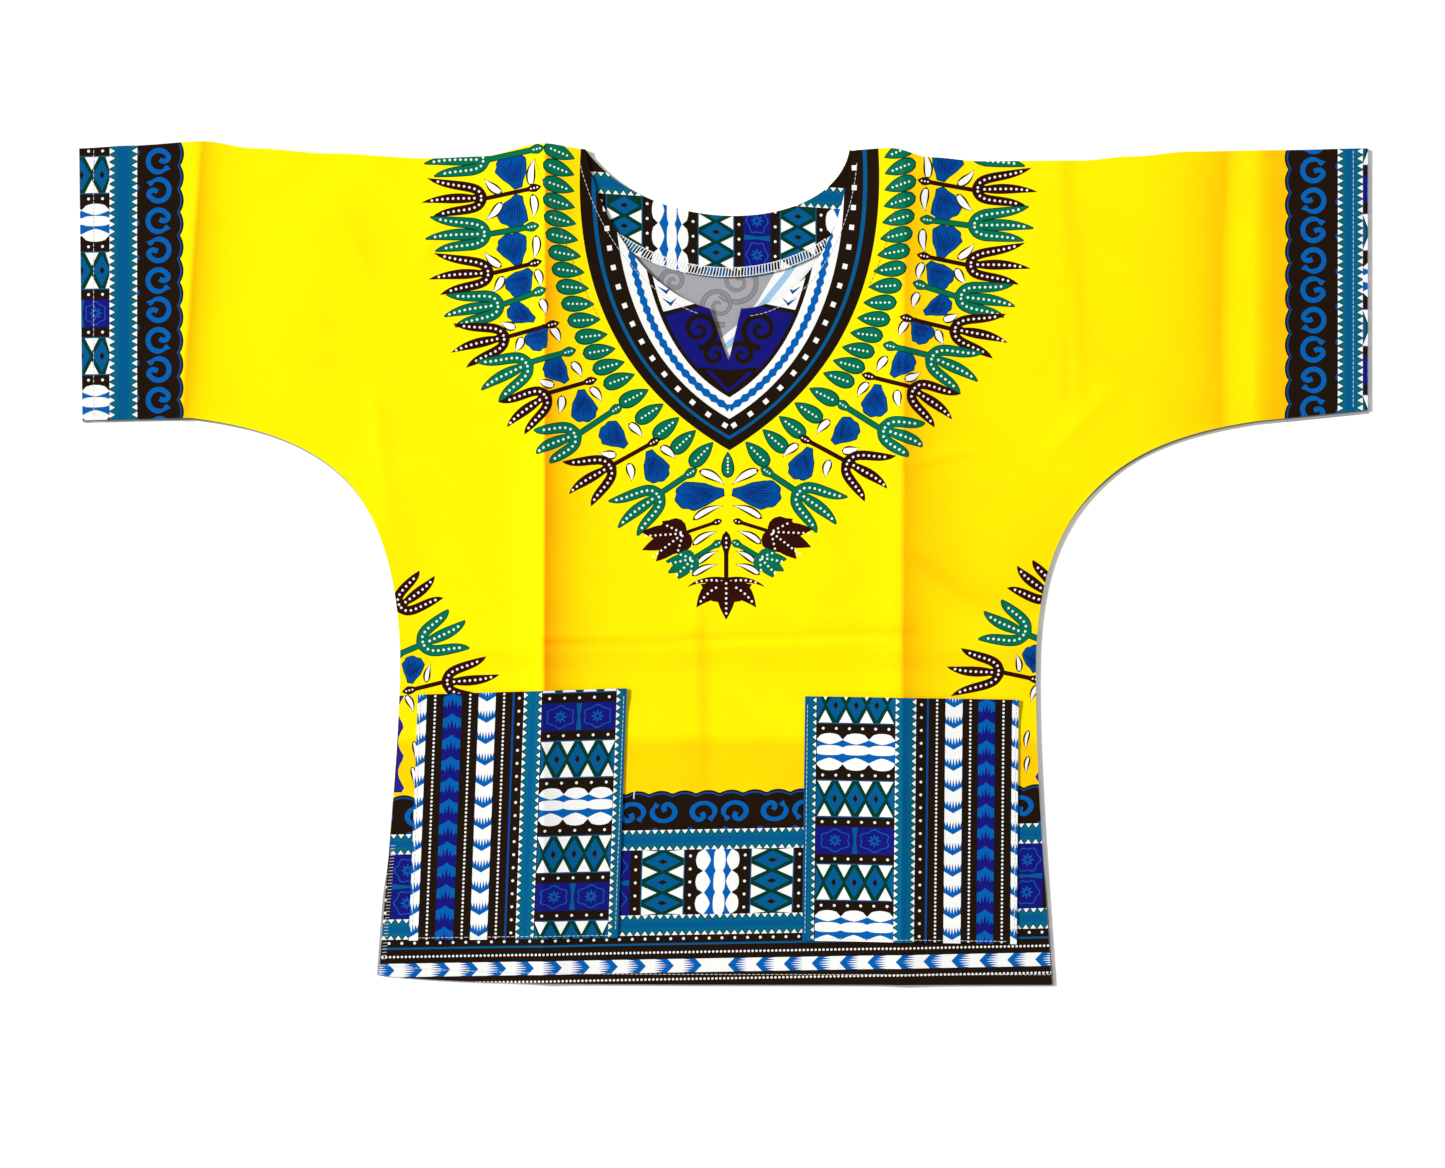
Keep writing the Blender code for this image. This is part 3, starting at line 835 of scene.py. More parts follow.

# Pressed creases: place across at the top and the foot, the heights they run between, their own
# height and reach to each side, and the painted shade beside them, as gold in the yellow: depth,
# reach left, reach right, and how much further it reaches low down
CREASES = [
    dict(top=-323.0, foot=-335.0, high=262.0, low=88.0, height=3.8, left=9.0, right=15.0,
         crease_shade=(0.85, 6.0, 7.0, 0.0)),
    dict(top=-110.5, foot=-112.0, high=262.0, low=-262.0, height=4.2, left=9.0, right=17.0,
         crease_shade=(1.4, 1.0, 11.0, 4.0)),
    dict(top=112.0, foot=109.5, high=262.0, low=-262.0, height=4.2, left=9.0, right=20.0,
         crease_shade=(0.85, 6.0, 15.0, 4.0)),
    dict(top=310.0, foot=306.5, high=262.0, low=84.0, height=-1.6, left=14.0, right=10.0,
         crease_shade=(0.8, 22.0, 5.0, 0.0))]
CREASE_FADE = 25.0
CREST_OFFSETS = (-20.0, -12.0, -7.0, -3.5, -1.5, 0.0, 1.5, 3.5, 7.0, 12.0, 20.0)

# Softer folds: middle, direction across, width, half-length and height. The first three lie along
# the waist and the fourth down the middle, and the rest are wrinkles of the sides and sleeves
SOFT_FOLDS = [
    ((-72.0, -47.0), (0.03, 1.0), 3.4, 46.0, 0.7), ((46.0, -50.0), (-0.02, 1.0), 3.4, 60.0, 0.8),
    ((0.0, -58.0), (0.0, 1.0), 12.0, 190.0, 0.6), ((-15.5, -84.0), (1.0, 0.02), 4.5, 58.0, 0.8),
    ((146.0, -6.0), (0.6, 0.8), 7.0, 34.0, 1.3), ((155.0, -20.0), (0.75, 0.66), 22.0, 80.0, 1.2),
    ((216.0, 166.0), (1.0, 0.05), 5.5, 66.0, 0.9), ((205.0, 150.0), (1.0, 0.35), 28.0, 80.0, 1.0),
    ((222.0, 88.0), (0.7, -0.72), 6.5, 30.0, 0.8), ((136.0, 66.0), (-0.2, 1.0), 4.0, 26.0, 0.6),
    ((178.0, 58.0), (0.5, 0.87), 5.0, 22.0, 0.6), ((-211.0, 58.0), (1.0, 0.1), 5.5, 46.0, 0.8),
    ((-255.0, 170.0), (1.0, -0.2), 26.0, 70.0, 1.2), ((-262.0, 214.0), (0.4, 1.0), 6.0, 20.0, 0.5),
    ((-228.0, 196.0), (0.9, 0.4), 6.0, 22.0, 0.5), ((-240.0, 152.0), (0.3, 1.0), 5.5, 24.0, 0.45),
    ((-180.0, 204.0), (1.0, -0.5), 6.0, 24.0, 0.45)]
SHARP_FOLD = 8.0
FOLD_OFFSETS = (-2.0, -1.3, -0.8, -0.4, 0.0, 0.4, 0.8, 1.3, 2.0)


def crest(crease, y):
    """Place across of a crease's crest at the height y."""
    share = (y - crease["low"]) / (crease["high"] - crease["low"])
    return crease["foot"] + (crease["top"] - crease["foot"]) * share


neck_left = bezier((SHOULDER_LEFT, top_edge(SHOULDER_LEFT)), *NECK_LEFT_HANDLES, NOTCH_LEFT)
neck_right = bezier(NOTCH_RIGHT, *NECK_RIGHT_HANDLES, (SHOULDER_RIGHT, top_edge(SHOULDER_RIGHT)))


def front_outline():
    """Outline of the front, anticlockwise from the left hem corner."""
    left, right = side_run(-1), side_run(1)
    return chain(
        hem_run(left[-1, 0], right[-1, 0]), right[::-1],
        shoulder_run(HALF_SPAN, SHOULDER_RIGHT), neck_right[::-1],
        straight(NOTCH_RIGHT, NOTCH_POINT), straight(NOTCH_POINT, NOTCH_LEFT), neck_left[::-1],
        shoulder_run(SHOULDER_LEFT, -HALF_SPAN), left[:-1])


def crease_height(crease, x, y):
    """Crease that is sharp at its crest: height times e to the minus distance over reach."""
    off = x - crest(crease, y)
    reach = np.where(off < 0, crease["left"], crease["right"])
    live = eased((y - crease["low"] + CREASE_FADE) / CREASE_FADE)
    live = live * eased((crease["high"] + CREASE_FADE - y) / CREASE_FADE)
    return crease["height"] * np.exp(-np.abs(off) / reach) * live


def soft_height(fold, x, y):
    """Rounded fold: a bell across it that dies out along its length."""
    middle, side, width, length, height = fold
    side = Vector(side).normalized()
    dx, dy = x - middle[0], y - middle[1]
    across, along = dx * side.x + dy * side.y, -dx * side.y + dy * side.x
    return height * np.exp(-(across / width) ** 2 - (along / length) ** 4)


def fold_lines():
    """Lines along and beside each of the narrower folds, for the mesh to bend along."""
    lines = []
    for middle, side, width, length, _ in SOFT_FOLDS:
        if width < SHARP_FOLD:
            side = np.array(side) / np.linalg.norm(side)
            along = np.arange(-1.2 * length, 1.2 * length, 7.0)[:, None] * [-side[1], side[0]]
            lines += [middle + side * offset * width + along for offset in FOLD_OFFSETS]
    return lines


def crest_lines(creases):
    """Lines along each crease at its crest and beside it, for the mesh to bend along."""
    lines = []
    for crease in creases:
        y = np.arange(crease["low"] - CREASE_FADE, crease["high"] + 8.0, 8.0)
        for offset in CREST_OFFSETS:
            lines.append(pair(crest(crease, y) + offset, y))
    return lines


front_edge = front_outline()


def front_under(points):
    """Height of the front's underside: the layers below it, its puff, folds and creases."""
    x, y = points[:, 0], points[:, 1]
    out = np.where(inside_outline(points, facing_edge), 0.0, edge_distance(points, facing_edge))
    bump = FACING_RISE * eased((RISE_ENDS - out) / (RISE_ENDS - RISE_KEPT))
    free = 1.0 - np.exp(-edge_distance(points, front_edge) / PUFF_REACH)
    folds = sum(crease_height(crease, x, y) for crease in CREASES)
    soft = sum(soft_height(fold, x, y) for fold in SOFT_FOLDS)
    relief = PUFF * free + folds * (EDGE_SHARE + (1.0 - EDGE_SHARE) * free) + soft * free
    return FRONT_UNDER + bump + np.maximum(relief, 0.0)


def front_top(points):
    """Height of the front's printed side."""
    return front_under(points) + FRONT_WALL


# Gold in the yellow away from the creases: painted shade along the waist fold's two lines, the fold
# down the middle and two wrinkles on the right, and the band over the hem border and the strip before
# the right cuff
WAIST_LINE_Y = -45.0
WAIST_BAND_Y = -60.0
MIDDLE_FOLD = (-18.0, -30.0)
HEM_GOLD_Y = -108.0
CUFF_GOLD_X = 326.0
WRINKLE_SHADE = (142.0, -12.0)
SLEEVE_WRINKLE = (212.0, 96.0)
BODY_HALF = 215.0


def bell(off, reach):
    """Bell over a distance: e to the minus its square over the reach's square."""
    return np.exp(-(off / reach) ** 2)


def gold_and_painted_shade(points):
    """How golden the yellow is: painted shade beside the creases and along the folds, and gold over
    the hem border, before the right cuff and down both sides, on a slow rise from left to right."""
    x, y = points[:, 0], points[:, 1]
    share = 0.10 + 0.18 * eased((x + HALF_SPAN) / (2 * HALF_SPAN))
    low_down = eased((90.0 - y) / 60.0)
    # Painted shade beside each crease, mostly on its shaded side
    for crease in CREASES:
        deep, left, right, further = crease["crease_shade"]
        off = x - crest(crease, y) - 1.2
        reach = np.where(off < 0, left, right + further * low_down)
        share += deep * np.exp(-np.abs(off) / reach) * (y > crease["low"] - 10.0)
    body = np.abs(x) < BODY_HALF
    # Painted shade along the waist fold's two lines and the fold down the middle
    share += 0.3 * bell(y - WAIST_LINE_Y - 0.03 * x, 2.8) * (np.abs(x) < 118.0)
    share += 0.25 * bell(y - WAIST_BAND_Y, 5.0) * body
    share += 0.25 * bell(x - MIDDLE_FOLD[0], 5.0) * eased((MIDDLE_FOLD[1] - y) / 12.0)
    share += 0.50 * eased((HEM_GOLD_Y - y) / 4.0) * body
    share += 0.90 * eased((x - CUFF_GOLD_X) / 12.0)
    # Painted shade along two wrinkles on the right
    dx, dy = x - WRINKLE_SHADE[0], y - WRINKLE_SHADE[1]
    share += 0.4 * bell(0.6 * dx + 0.8 * dy, 7.0) * np.exp(-((0.8 * dx - 0.6 * dy) / 30.0) ** 4)
    share += 0.3 * bell(x - SLEEVE_WRINKLE[0], 4.0) * eased((y - SLEEVE_WRINKLE[1]) / 10.0)
    side = np.abs(x + 4.0) - 172.0
    return share + 0.2 * eased(side / 20.0) * eased((60.0 - y) / 60.0) * body


RING_OUTER = ((92.0, 258.0), (97.0, 183.0), (76.0, 115.0), (0.0, 69.8))
RING_INNER = ((52.3, 258.0), (57.0, 193.0), (44.0, 130.6), (0.0, 105.5))


def ring_curve(share, side, steps=40):
    """One side of the neck ring's curve at a share of the way from its outer to its inner edge."""
    rows = [np.array(a) * (1 - share) + np.array(b) * share for a, b in zip(RING_OUTER, RING_INNER)]
    line = bezier(*rows, steps) * [side, 1.0]
    x = line[:, 0] + AXIS_X
    return pair(x, line[:, 1] + PRINT_SKEW * line[:, 0])


def ring_band(ink, low, high, steps=40):
    """A band of the neck ring between two shares, all the way round."""
    outer, inner = (
        np.concatenate([ring_curve(share, -1.0, steps), ring_curve(share, 1.0, steps)[::-1][1:]])
        for share in (low, high))
    return [(ink, np.concatenate([outer, inner[::-1]]))]


def stations(line, pitch, start=0.0, stop=None):
    """Points every pitch along a line, and the line's direction at each."""
    run = np.diff(line, axis=0)
    length = np.concatenate([[0.0], np.cumsum(np.linalg.norm(run, axis=1))])
    stop = length[-1] if stop is None else stop
    at = np.arange(start, stop, pitch)
    points = pair(np.interp(at, length, line[:, 0]), np.interp(at, length, line[:, 1]))
    way = run[np.clip(np.searchsorted(length, at, side="right") - 1, 0, len(run) - 1)]
    return points, way / np.linalg.norm(way, axis=1)[:, None]


def ring_marks():
    """The neck ring from outside in: black, blue line, white squares, a chain of lozenges, dark line."""
    marks = ring_band("black", 0.0, 0.56) + ring_band("blue", 0.1875, 0.25)
    marks += ring_band("white", 0.547, 0.92)
    for side in (-1.0, 1.0):
        spot, way = stations(ring_curve(0.39, side, 80)[::-1], 12.3, 3.3)
        for centre, (dx, dy) in zip(spot, way):
            square = np.array([(-1.6, -1.5), (1.6, -1.5), (1.6, 1.5), (-1.6, 1.5)])
            marks.append(("white", square @ np.array([(dx, dy), (-dy, dx)]) + centre))
        spot, way = stations(ring_curve(0.73, side, 80)[::-1], 2.9)
        square_to = pair(-way[:, 1], way[:, 0])
        half = np.where(np.arange(len(spot)) % 2 == 0, 2.6, 1.4)[:, None]
        marks.append(("sky", np.concatenate([spot + square_to * half, (spot - square_to * half)[::-1]])))
    return marks + ring_band("black", 0.92, 1.0)


# The throat's spirals (centre, radius, turns and hand), the navy field's upper edge, and ticks
CHEST_SPIRALS = [
    (-15.3, 144.8, 11.8, 1.75, -1.0), (22.9, 144.8, 11.8, 1.75, 1.0),
    (-5.3, 129.1, 8.4, 1.5, -1.0), (11.3, 129.1, 8.4, 1.5, 1.0)]
NAVY_TOP = (
    (-52.0, 151.4), (-35.2, 154.8), (-16.0, 159.8), (3.7, 161.5), (19.5, 160.6), (44.5, 155.4),
    (60.0, 151.8))
TICKS = ((40.0, 169.7), (37.2, 162.3), (45.0, 177.6))


def throat_marks():
    """Inside the ring: white with small ticks, and a navy field with thick black spirals."""
    left, right = ring_curve(0.96, -1.0), ring_curve(0.96, 1.0)
    top = np.array(NAVY_TOP)
    marks = [("white", np.concatenate([left, right[::-1][1:]]))]
    marks.append(("navy", np.concatenate([top, [(57.0, 138.0), (3.7, 90.0), (-50.0, 138.0)]])))
    marks += [("black", spiral(*row, 1.9)) for row in CHEST_SPIRALS]
    marks.append(("black", stroke(top, 1.3)))
    marks.append(("black", np.array([(-16.0, 121.5), (3.2, 119.5), (22.0, 121.5), (3.5, 92.0)])))
    marks.append(("navy", stroke(np.array([(-9.4, 119.1), (3.0, 106.7), (17.0, 118.4)]), 1.1)))
    for side in (-1.0, 1.0):
        for out, up in TICKS:
            tick = np.array([(-4.8, 2.4), (-0.8, -0.9), (4.8, 2.0), (-1.0, -3.3)]) * [side, 1.0]
            marks.append(("cobalt", tick + [AXIS_X + side * out, up]))
    return marks


def ring_leaf(centre, way, long=21.0, wide=10.2):
    """A green leaf, round behind and pointed in front, with a dark edge and five spots."""
    t = np.linspace(0.0, 1.0, 17)
    shape = np.where(t < 0.35, np.sqrt(np.clip(1.0 - (1.0 - t / 0.35) ** 2, 0.0, 1.0)),
                     np.cos((t - 0.35) / 0.65 * np.pi / 2) ** 0.85)
    way = np.array(way) / np.linalg.norm(way)
    line = centre + (t[:, None] - 0.5) * long * way
    inner = centre + (t[:, None] - 0.5) * (long - 1.7) * way
    marks = [("pine", stroke(line, shape * wide / 2)),
             ("green", stroke(inner, shape * (wide / 2 - 0.75)))]
    return marks + spots("white", centre + np.linspace(-0.27, 0.24, 5)[:, None] * long * way, 0.72)


# Steps from leaf to leaf up the ring, how far out they lie and how much closer low down, how far
# they droop, and the height at which they droop least
LEAF_STEPS = [13] + [13] * 5 + [10] * 14
LEAF_OUT = 13.0
LEAF_CLOSER = 2.0
LEAF_TURN = np.radians(20.0)
LEAF_LOW = 85.0


def leaf_marks():
    """Leaves round the ring, their points towards it and drooping with its side."""
    marks = []
    for side in (-1.0, 1.0):
        spot, way = stations(ring_curve(0.0, side, 80)[::-1], 1.0)
        at = np.cumsum(LEAF_STEPS)
        at = at[at < len(spot)]
        for centre, (dx, dy) in zip(spot[at], way[at]):
            outward = np.array([dy, -dx]) * -side
            outward = outward if outward @ (centre - [AXIS_X, 190.0]) > 0 else -outward
            up = float(eased((centre[1] - LEAF_LOW) / 60.0))
            turn = LEAF_TURN * side * (0.5 + 0.5 * up)
            inward = -outward
            drooped = np.array([
                inward[0] * math.cos(turn) - inward[1] * math.sin(turn),
                inward[0] * math.sin(turn) + inward[1] * math.cos(turn)])
            out = LEAF_OUT - LEAF_CLOSER + LEAF_CLOSER * up
            marks += ring_leaf(centre + outward * out, drooped)
    return marks + ring_leaf(np.array([AXIS_X - 1.0, 60.9]), (0.0, 1.0), 16.5, 8.2)


# Sprigs down the left of the ring: where the bulb and the foot of the fork lie, which way the
# fork points, how far its side prongs open, its length, and its ink. Three more stand at the side
SPRIGS = [
    ((-112.0, 257.0), (-144.8, 250.0), 180.0, 17.0, 37.5, "green"),
    ((-113.6, 232.7), (-146.0, 226.0), 180.3, 18.5, 38.0, "brown"),
    ((-115.1, 208.6), (-144.0, 203.9), 181.0, 16.5, 37.5, "green"),
    ((-113.2, 186.5), (-141.7, 179.7), 182.0, 20.0, 38.0, "brown"),
    ((-110.8, 169.1), (-135.7, 160.4), 187.8, 17.0, 35.0, "green"),
    ((-102.5, 148.5), (-132.0, 140.5), 191.7, 24.0, 35.0, "brown"),
    ((-92.4, 131.7), (-118.1, 124.6), 204.7, 25.0, 33.5, "green"),
    ((-79.1, 113.7), (-106.8, 105.5), 213.9, 24.0, 32.0, "brown"),
    ((-63.6, 97.3), (-88.3, 80.8), 200.9, 24.0, 28.0, "green"),
    ((-40.0, 76.7), (-66.7, 61.8), 209.3, 31.0, 32.0, "brown"),
    ((-17.4, 57.8), (-37.4, 44.3), 214.9, 25.0, 33.0, "green")]
SIDE_SPRIGS = [
    ((-210.0, -95.0), (-203.5, -29.0), 36.0, 22.0, 30.0, "brown"),
    ((-206.0, -58.5), (-189.4, -51.5), 24.0, 26.0, 31.0, "green"),
    ((-198.0, -79.6), (-175.0, -74.0), 4.0, 26.0, 34.0, "brown")]

# Cobalt shells between the sprigs: the narrow end, the frilled end and the width
SHELLS = [
    ((-127.0, 232.2), (-133.5, 252.4), 20.5), ((-126.5, 227.4), (-132.8, 208.4), 19.5),
    ((-127.0, 184.9), (-132.6, 203.6), 19.5), ((-119.5, 181.2), (-131.2, 166.6), 17.5),
    ((-117.0, 150.6), (-133.0, 157.6), 13.0), ((-110.0, 146.4), (-119.0, 133.0), 14.5),
    ((-97.0, 112.4), (-108.5, 125.2), 15.0), ((-88.0, 107.0), (-85.4, 87.6), 16.5),
    ((-60.5, 72.6), (-74.5, 84.6), 16.0), ((-46.0, 69.4), (-39.0, 50.6), 16.5),
    ((0.1, 43.8), (-29.7, 40.7), 18.0)]
SIDE_SHELL = ((-194.0, -74.0), (-191.0, -58.0), 13.5)

# White leaflets: the middle, the heading of the tip in degrees, and the length
LEAFLETS = [
    (-142.6, 233.7, 140.0, 13.0), (-142.3, 218.0, 228.0, 13.5), (-117.6, 242.0, 82.0, 16.0),
    (-118.0, 220.6, 272.0, 14.0), (-116.8, 195.4, 265.0, 13.5), (-114.6, 176.2, 285.0, 10.5),
    (-111.6, 158.4, 290.0, 9.5), (-142.6, 188.1, 139.0, 13.0), (-139.8, 172.6, 239.0, 11.0),
    (-133.2, 147.8, 160.0, 9.5), (-127.0, 135.4, 245.0, 9.5), (-104.0, 141.2, 300.0, 10.5),
    (-90.9, 119.6, 305.0, 10.5), (-109.5, 112.0, 160.0, 10.0), (-101.0, 98.0, 262.0, 10.5),
    (-79.0, 104.2, 310.0, 10.5), (-54.5, 82.0, 315.0, 11.0), (-71.5, 68.0, 172.0, 10.0),
    (-34.5, 68.2, 322.0, 11.0), (-58.0, 56.2, 280.0, 10.5)]


def tapered(t, wide):
    """Half-widths of a prong: full along most of it, then closing to a point."""
    return wide * (1.0 - t ** 6) + 0.05


def sprig(bulb, foot, heading, spread, length, ink):
    """A three-pronged sprig on a stem: each prong is a stroke round its own curved line."""
    bulb, foot = np.array(bulb), np.array(foot)
    turn, open_by = math.radians(heading), math.radians(spread)
    frame_of = np.array([(math.cos(turn), math.sin(turn)), (-math.sin(turn), math.cos(turn))])
    lines = []
    for side, reach in ((-1.0, 1.04), (1.0, 0.96)):
        tip = (length * reach * math.cos(open_by), side * length * reach * math.sin(open_by))
        lines.append(bezier((4.0, 0.0), (3.0, side * 9.5), (20.0, side * 0.30 * spread), tip, 14))
    lines.append(bezier((7.0, 0.0), (16.0, 0.4), (26.0, -0.8), (length * 1.08, 2.6), 12))
    steps = [np.linspace(0.0, 1.0, len(line)) for line in lines]
    widths = [tapered(steps[0], 2.95), tapered(steps[1], 2.95),
              3.1 * np.sin(np.pi * (0.15 + 0.85 * steps[2])) ** 0.8 + 0.05]
    half = np.radians(np.linspace(90.0, 270.0, 13))
    way = (bulb - foot) / np.linalg.norm(bulb - foot)
    stem = straight(bulb, foot - way * 3.0, 3.0)
    bud = bulb + np.linspace(1.2, -8.0, 6)[:, None] * way
    marks = []
    layers = [("pine", 0.55), ("green", 0.0)] if ink == "green" else [("brown", 0.0)]
    for colour, grown in layers:
        marks.append((colour, stroke(stem, 1.35 + grown)))
        marks.append((colour, stroke(bud, np.array([0.1, 1.5, 2.6, 2.5, 1.9, 1.2]) + grown)))
        body = pair(13.5 + (13.2 + grown) * np.cos(half), (9.8 + grown) * np.sin(half))
        notch = np.array([(12.5, 5.6), (5.4 + grown, 3.0), (12.5, 1.4)])
        cut = np.concatenate([notch * [1.0, -1.0], notch[::-1]])
        marks.append((colour, np.concatenate([body, cut]) @ frame_of + foot))
        for line, wide in zip(lines, widths):
            marks.append((colour, stroke(line, wide + grown) @ frame_of + foot))
    for line, last in zip(lines, (0.86, 0.86, 0.9)):
        total = np.linalg.norm(np.diff(line, axis=0), axis=1).sum()
        beads = stations(line, 3.3, 1.2, total * last)[0]
        marks += spots("white", beads @ frame_of + foot, 0.85)
    return marks + spots("white", bulb - np.array([1.6, 3.6, 5.6])[:, None] * way, 0.65, 5)


def white_leaf(root, tip, wide):
    """A small white leaf in a fine brown line, widest nearer its root."""
    root, tip = np.array(root, float), np.array(tip, float)
    t = np.linspace(0.0, 1.0, 13)
    shape = np.sin(np.pi * t ** 0.7) ** (0.75 + 0.5 * t)
    side = np.array([-(tip - root)[1], (tip - root)[0]]) * 0.08
    line = root + t[:, None] * (tip - root) + (np.sin(np.pi * t))[:, None] * side
    inner = line[1:-1]
    return [("brown", stroke(line, shape * wide / 2)),
            ("white", stroke(inner, (shape * (wide / 2 - 1.1))[1:-1]))]


def shell(apex, far, wide):
    """A cobalt fan: narrow at its apex, frilled round its far end, with branching veins."""
    apex, far = np.array(apex, float), np.array(far, float)
    long = np.linalg.norm(far - apex)
    way = (far - apex) / long
    frame_of = np.array([way, (-way[1], way[0])])
    turn = np.radians(np.linspace(-92.0, 92.0, 37))
    frill = 1.0 + 0.09 * np.abs(np.sin(turn * 2.3 + 0.4)) + 0.03 * np.sin(turn * 9.0)
    marks = []
    for ink, grown in (("pine", 0.5), ("cobalt", 0.0)):
        fan = pair(
            long * 0.64 + (long * 0.34 + grown) * np.cos(turn) * frill,
            (wide * 0.46 + grown) * np.sin(turn) * frill)
        side = np.array([
            (0.36 * long, 0.36 * wide + grown), (0.16 * long, 0.20 * wide + grown),
            (-grown, 0.10 * wide + grown)])
        outline = np.concatenate([fan, side, side[::-1] * [1.0, -1.0]])
        marks.append((ink, outline @ frame_of + apex))
    for number, lean_by in enumerate((-0.86, -0.6, -0.36, -0.12, 0.12, 0.38, 0.64, 0.9)):
        start, end = 0.16 + 0.10 * (number % 2), 0.88 - 0.07 * (number % 3) - 0.12 * lean_by ** 2
        along = np.linspace(start, end, 8)
        across = lean_by * wide * 0.5 * along ** 0.8 + 0.35 * np.sin(along * 16.0 + number)
        line = pair(along * long, across)
        wide_at = [0.06, 0.34, 0.22, 0.42, 0.24, 0.38, 0.26, 0.05]
        marks.append(("vein", stroke(line, wide_at) @ frame_of + apex))
    return marks


def mirrored(marks):
    """The same marks on the other side of the print's middle line, skewed with the weave."""
    def flip(points):
        """Reflect each point across the middle line at its own height."""
        x = 2.0 * print_axis(points[:, 1]) - points[:, 0]
        return pair(x, points[:, 1] + PRINT_SKEW * (x - points[:, 0]))
    return lay(marks, flip)


# White leaves under the ring's point and at the side: root, tip and width
CLUSTER_LEAVES = [
    ((-15.3, 57.0), (1.0, 48.1), 6.2), ((-19.0, 26.6), (0.3, 35.6), 5.2),
    ((-19.3, 11.0), (-3.6, 19.8), 5.0), ((-16.4, -0.6), (-3.2, 7.4), 4.6),
    ((-19.6, -8.0), (-3.6, -0.8), 4.8)]
SIDE_LEAVES = [
    ((-183.8, -74.0), (-181.0, -62.2), 4.6), ((-197.0, -81.7), (-192.0, -92.6), 5.0),
    ((-192.0, -110.0), (-191.0, -122.0), 4.0), ((-193.0, -126.0), (-192.0, -137.0), 4.0)]
LEAFLET_WIDTH = 6.0


def chest_marks():
    """Sprigs down both sides of the ring, the cluster under its point and the side sprigs."""
    marks = []
    for row in SHELLS:
        marks += shell(*row)
    for x, y, heading, long in LEAFLETS:
        way = np.array([math.cos(math.radians(heading)), math.sin(math.radians(heading))])
        half = way * long * 0.56
        marks += white_leaf((x, y) - half, (x, y) + half, LEAFLET_WIDTH)
    for row in SPRIGS:
        marks += sprig(*row)
    for row in CLUSTER_LEAVES:
        marks += white_leaf(*row)
    marks += small_sprig((-1.4, 26.4), (-25.0, 18.4), 196.0, 27.5, "brown")
    marks += small_sprig((-1.5, 13.4), (-19.0, 2.8), 204.0, 17.5, "green")
    for row in SIDE_SPRIGS:
        marks += sprig(*row)
    marks += shell(*SIDE_SHELL)
    for row in SIDE_LEAVES:
        marks += white_leaf(*row)
    y = np.linspace(-82.0, -142.0, 22)
    edge = pair(-197.5 - 4.0 * np.abs(np.sin((y + 82.0) / 19.0 * np.pi)), y)
    marks.append(("violet", np.concatenate([edge, [(-214.0, -142.0), (-214.0, -82.0)]])))
    marks += [("green", DIAMOND * [2.0, 2.6] + [-203.5, middle]) for middle in (-100.0, -118.0)]
    return marks + mirrored(marks) + centre_sprig()


def small_sprig(bulb, foot, heading, length, ink):
    """A short sprig: a round body that opens into five pointed leaves."""
    bulb, foot = np.array(bulb), np.array(foot)
    way = (bulb - foot) / np.linalg.norm(bulb - foot)

    def tip_of(off, share):
        """Where a leaf ends: an angle off the sprig's heading, and a share of its length."""
        angle = math.radians(heading) + math.radians(off)
        return foot + length * share * np.array([math.cos(angle), math.sin(angle)])

    marks = []
    layers = [("pine", 0.5), ("green", 0.0)] if ink == "green" else [("brown", 0.0)]
    for colour, grown in layers:
        marks.append((colour, stroke(straight(bulb, foot, 3.0), 1.1 + grown)))
        bud = bulb + np.linspace(0.5, -6.5, 5)[:, None] * way
        marks.append((colour, stroke(bud, np.array([0.1, 1.7, 2.1, 1.5, 1.0]) + grown)))
        for off, share in ((-46.0, 0.55), (-18.0, 0.95), (6.0, 1.0), (30.0, 0.88), (62.0, 0.5)):
            tip = tip_of(off, share)
            line = straight(foot - way * 0.5, tip, 1.8)
            t = np.linspace(0.0, 1.0, len(line))
            half = length * 0.18 * np.sin(np.pi * (0.15 + 0.85 * t)) + 0.05
            marks.append((colour, stroke(line, half + grown)))
            if grown == 0.0:
                marks += spots(colour, [foot + (tip - foot) * 0.35], length * 0.25, 12)
    for off, share in ((-42.0, 0.5), (-12.0, 0.85), (22.0, 0.85), (58.0, 0.45)):
        run = straight(foot, tip_of(off, share), 2.0)
        marks += spots("white", stations(run, 3.1, 1.6)[0], 0.75)
    return marks + spots("white", bulb - np.array([1.4, 3.6])[:, None] * way, 0.6, 5)


def centre_sprig():
    """The dark sprig on the print's middle line: two wings, three leaves and a stem."""
    foot = np.array([float(print_axis(0.0)), 0.0])
    body = [(-16.0, -13.0), (-9.0, -23.5), (0.0, -25.0), (9.0, -23.5), (16.0, -13.0), (0.0, -11.0)]
    bud = straight((0.0, 20.0), (0.0, 5.0), 2.5)
    marks = [("brown", np.array(body)),
             ("brown", stroke(straight((0.0, 18.5), (0.0, -12.0), 3.0), 1.4)),
             ("brown", stroke(bud, [0.1, 2.2, 3.0, 3.2, 2.6, 1.7, 1.3]))]
    for side in (-1.0, 1.0):
        wing = bezier((0.0, -12.0), (8.0, -9.5), (17.0, -10.0), (23.5, -14.5), 12) * [side, 1.0]
        marks.append(("brown", stroke(wing, np.linspace(3.4, 0.2, 13) ** 0.9)))
        leaf = bezier((0.0, -13.0), (6.0, -14.0), (13.0, -18.5), (18.5, -27.5), 12) * [side, 1.0]
        half = 6.0 * np.sin(np.pi * (0.22 + 0.78 * np.linspace(0.0, 1.0, 13))) + 0.05
        marks.append(("brown", stroke(leaf, half)))
        marks += spots("white", stations(wing, 3.1, 3.0, 21.0)[0], 0.8)
        marks += spots("white", stations(leaf, 3.2, 3.5, 20.0)[0], 0.8)
    long = straight((0.0, -11.0), (0.0, -35.0), 2.4)
    half = 5.8 * np.sin(np.pi * (0.25 + 0.75 * np.linspace(0.0, 1.0, 11))) + 0.05
    marks.append(("brown", stroke(long, half)))
    marks += spots("white", stations(long, 3.1, 1.5, 21.0)[0], 0.8)
    marks += spots("white", [(0.0, 15.5), (0.0, 12.6), (0.0, 9.8)], 0.75)
    return lay(marks, lambda points: points + foot)


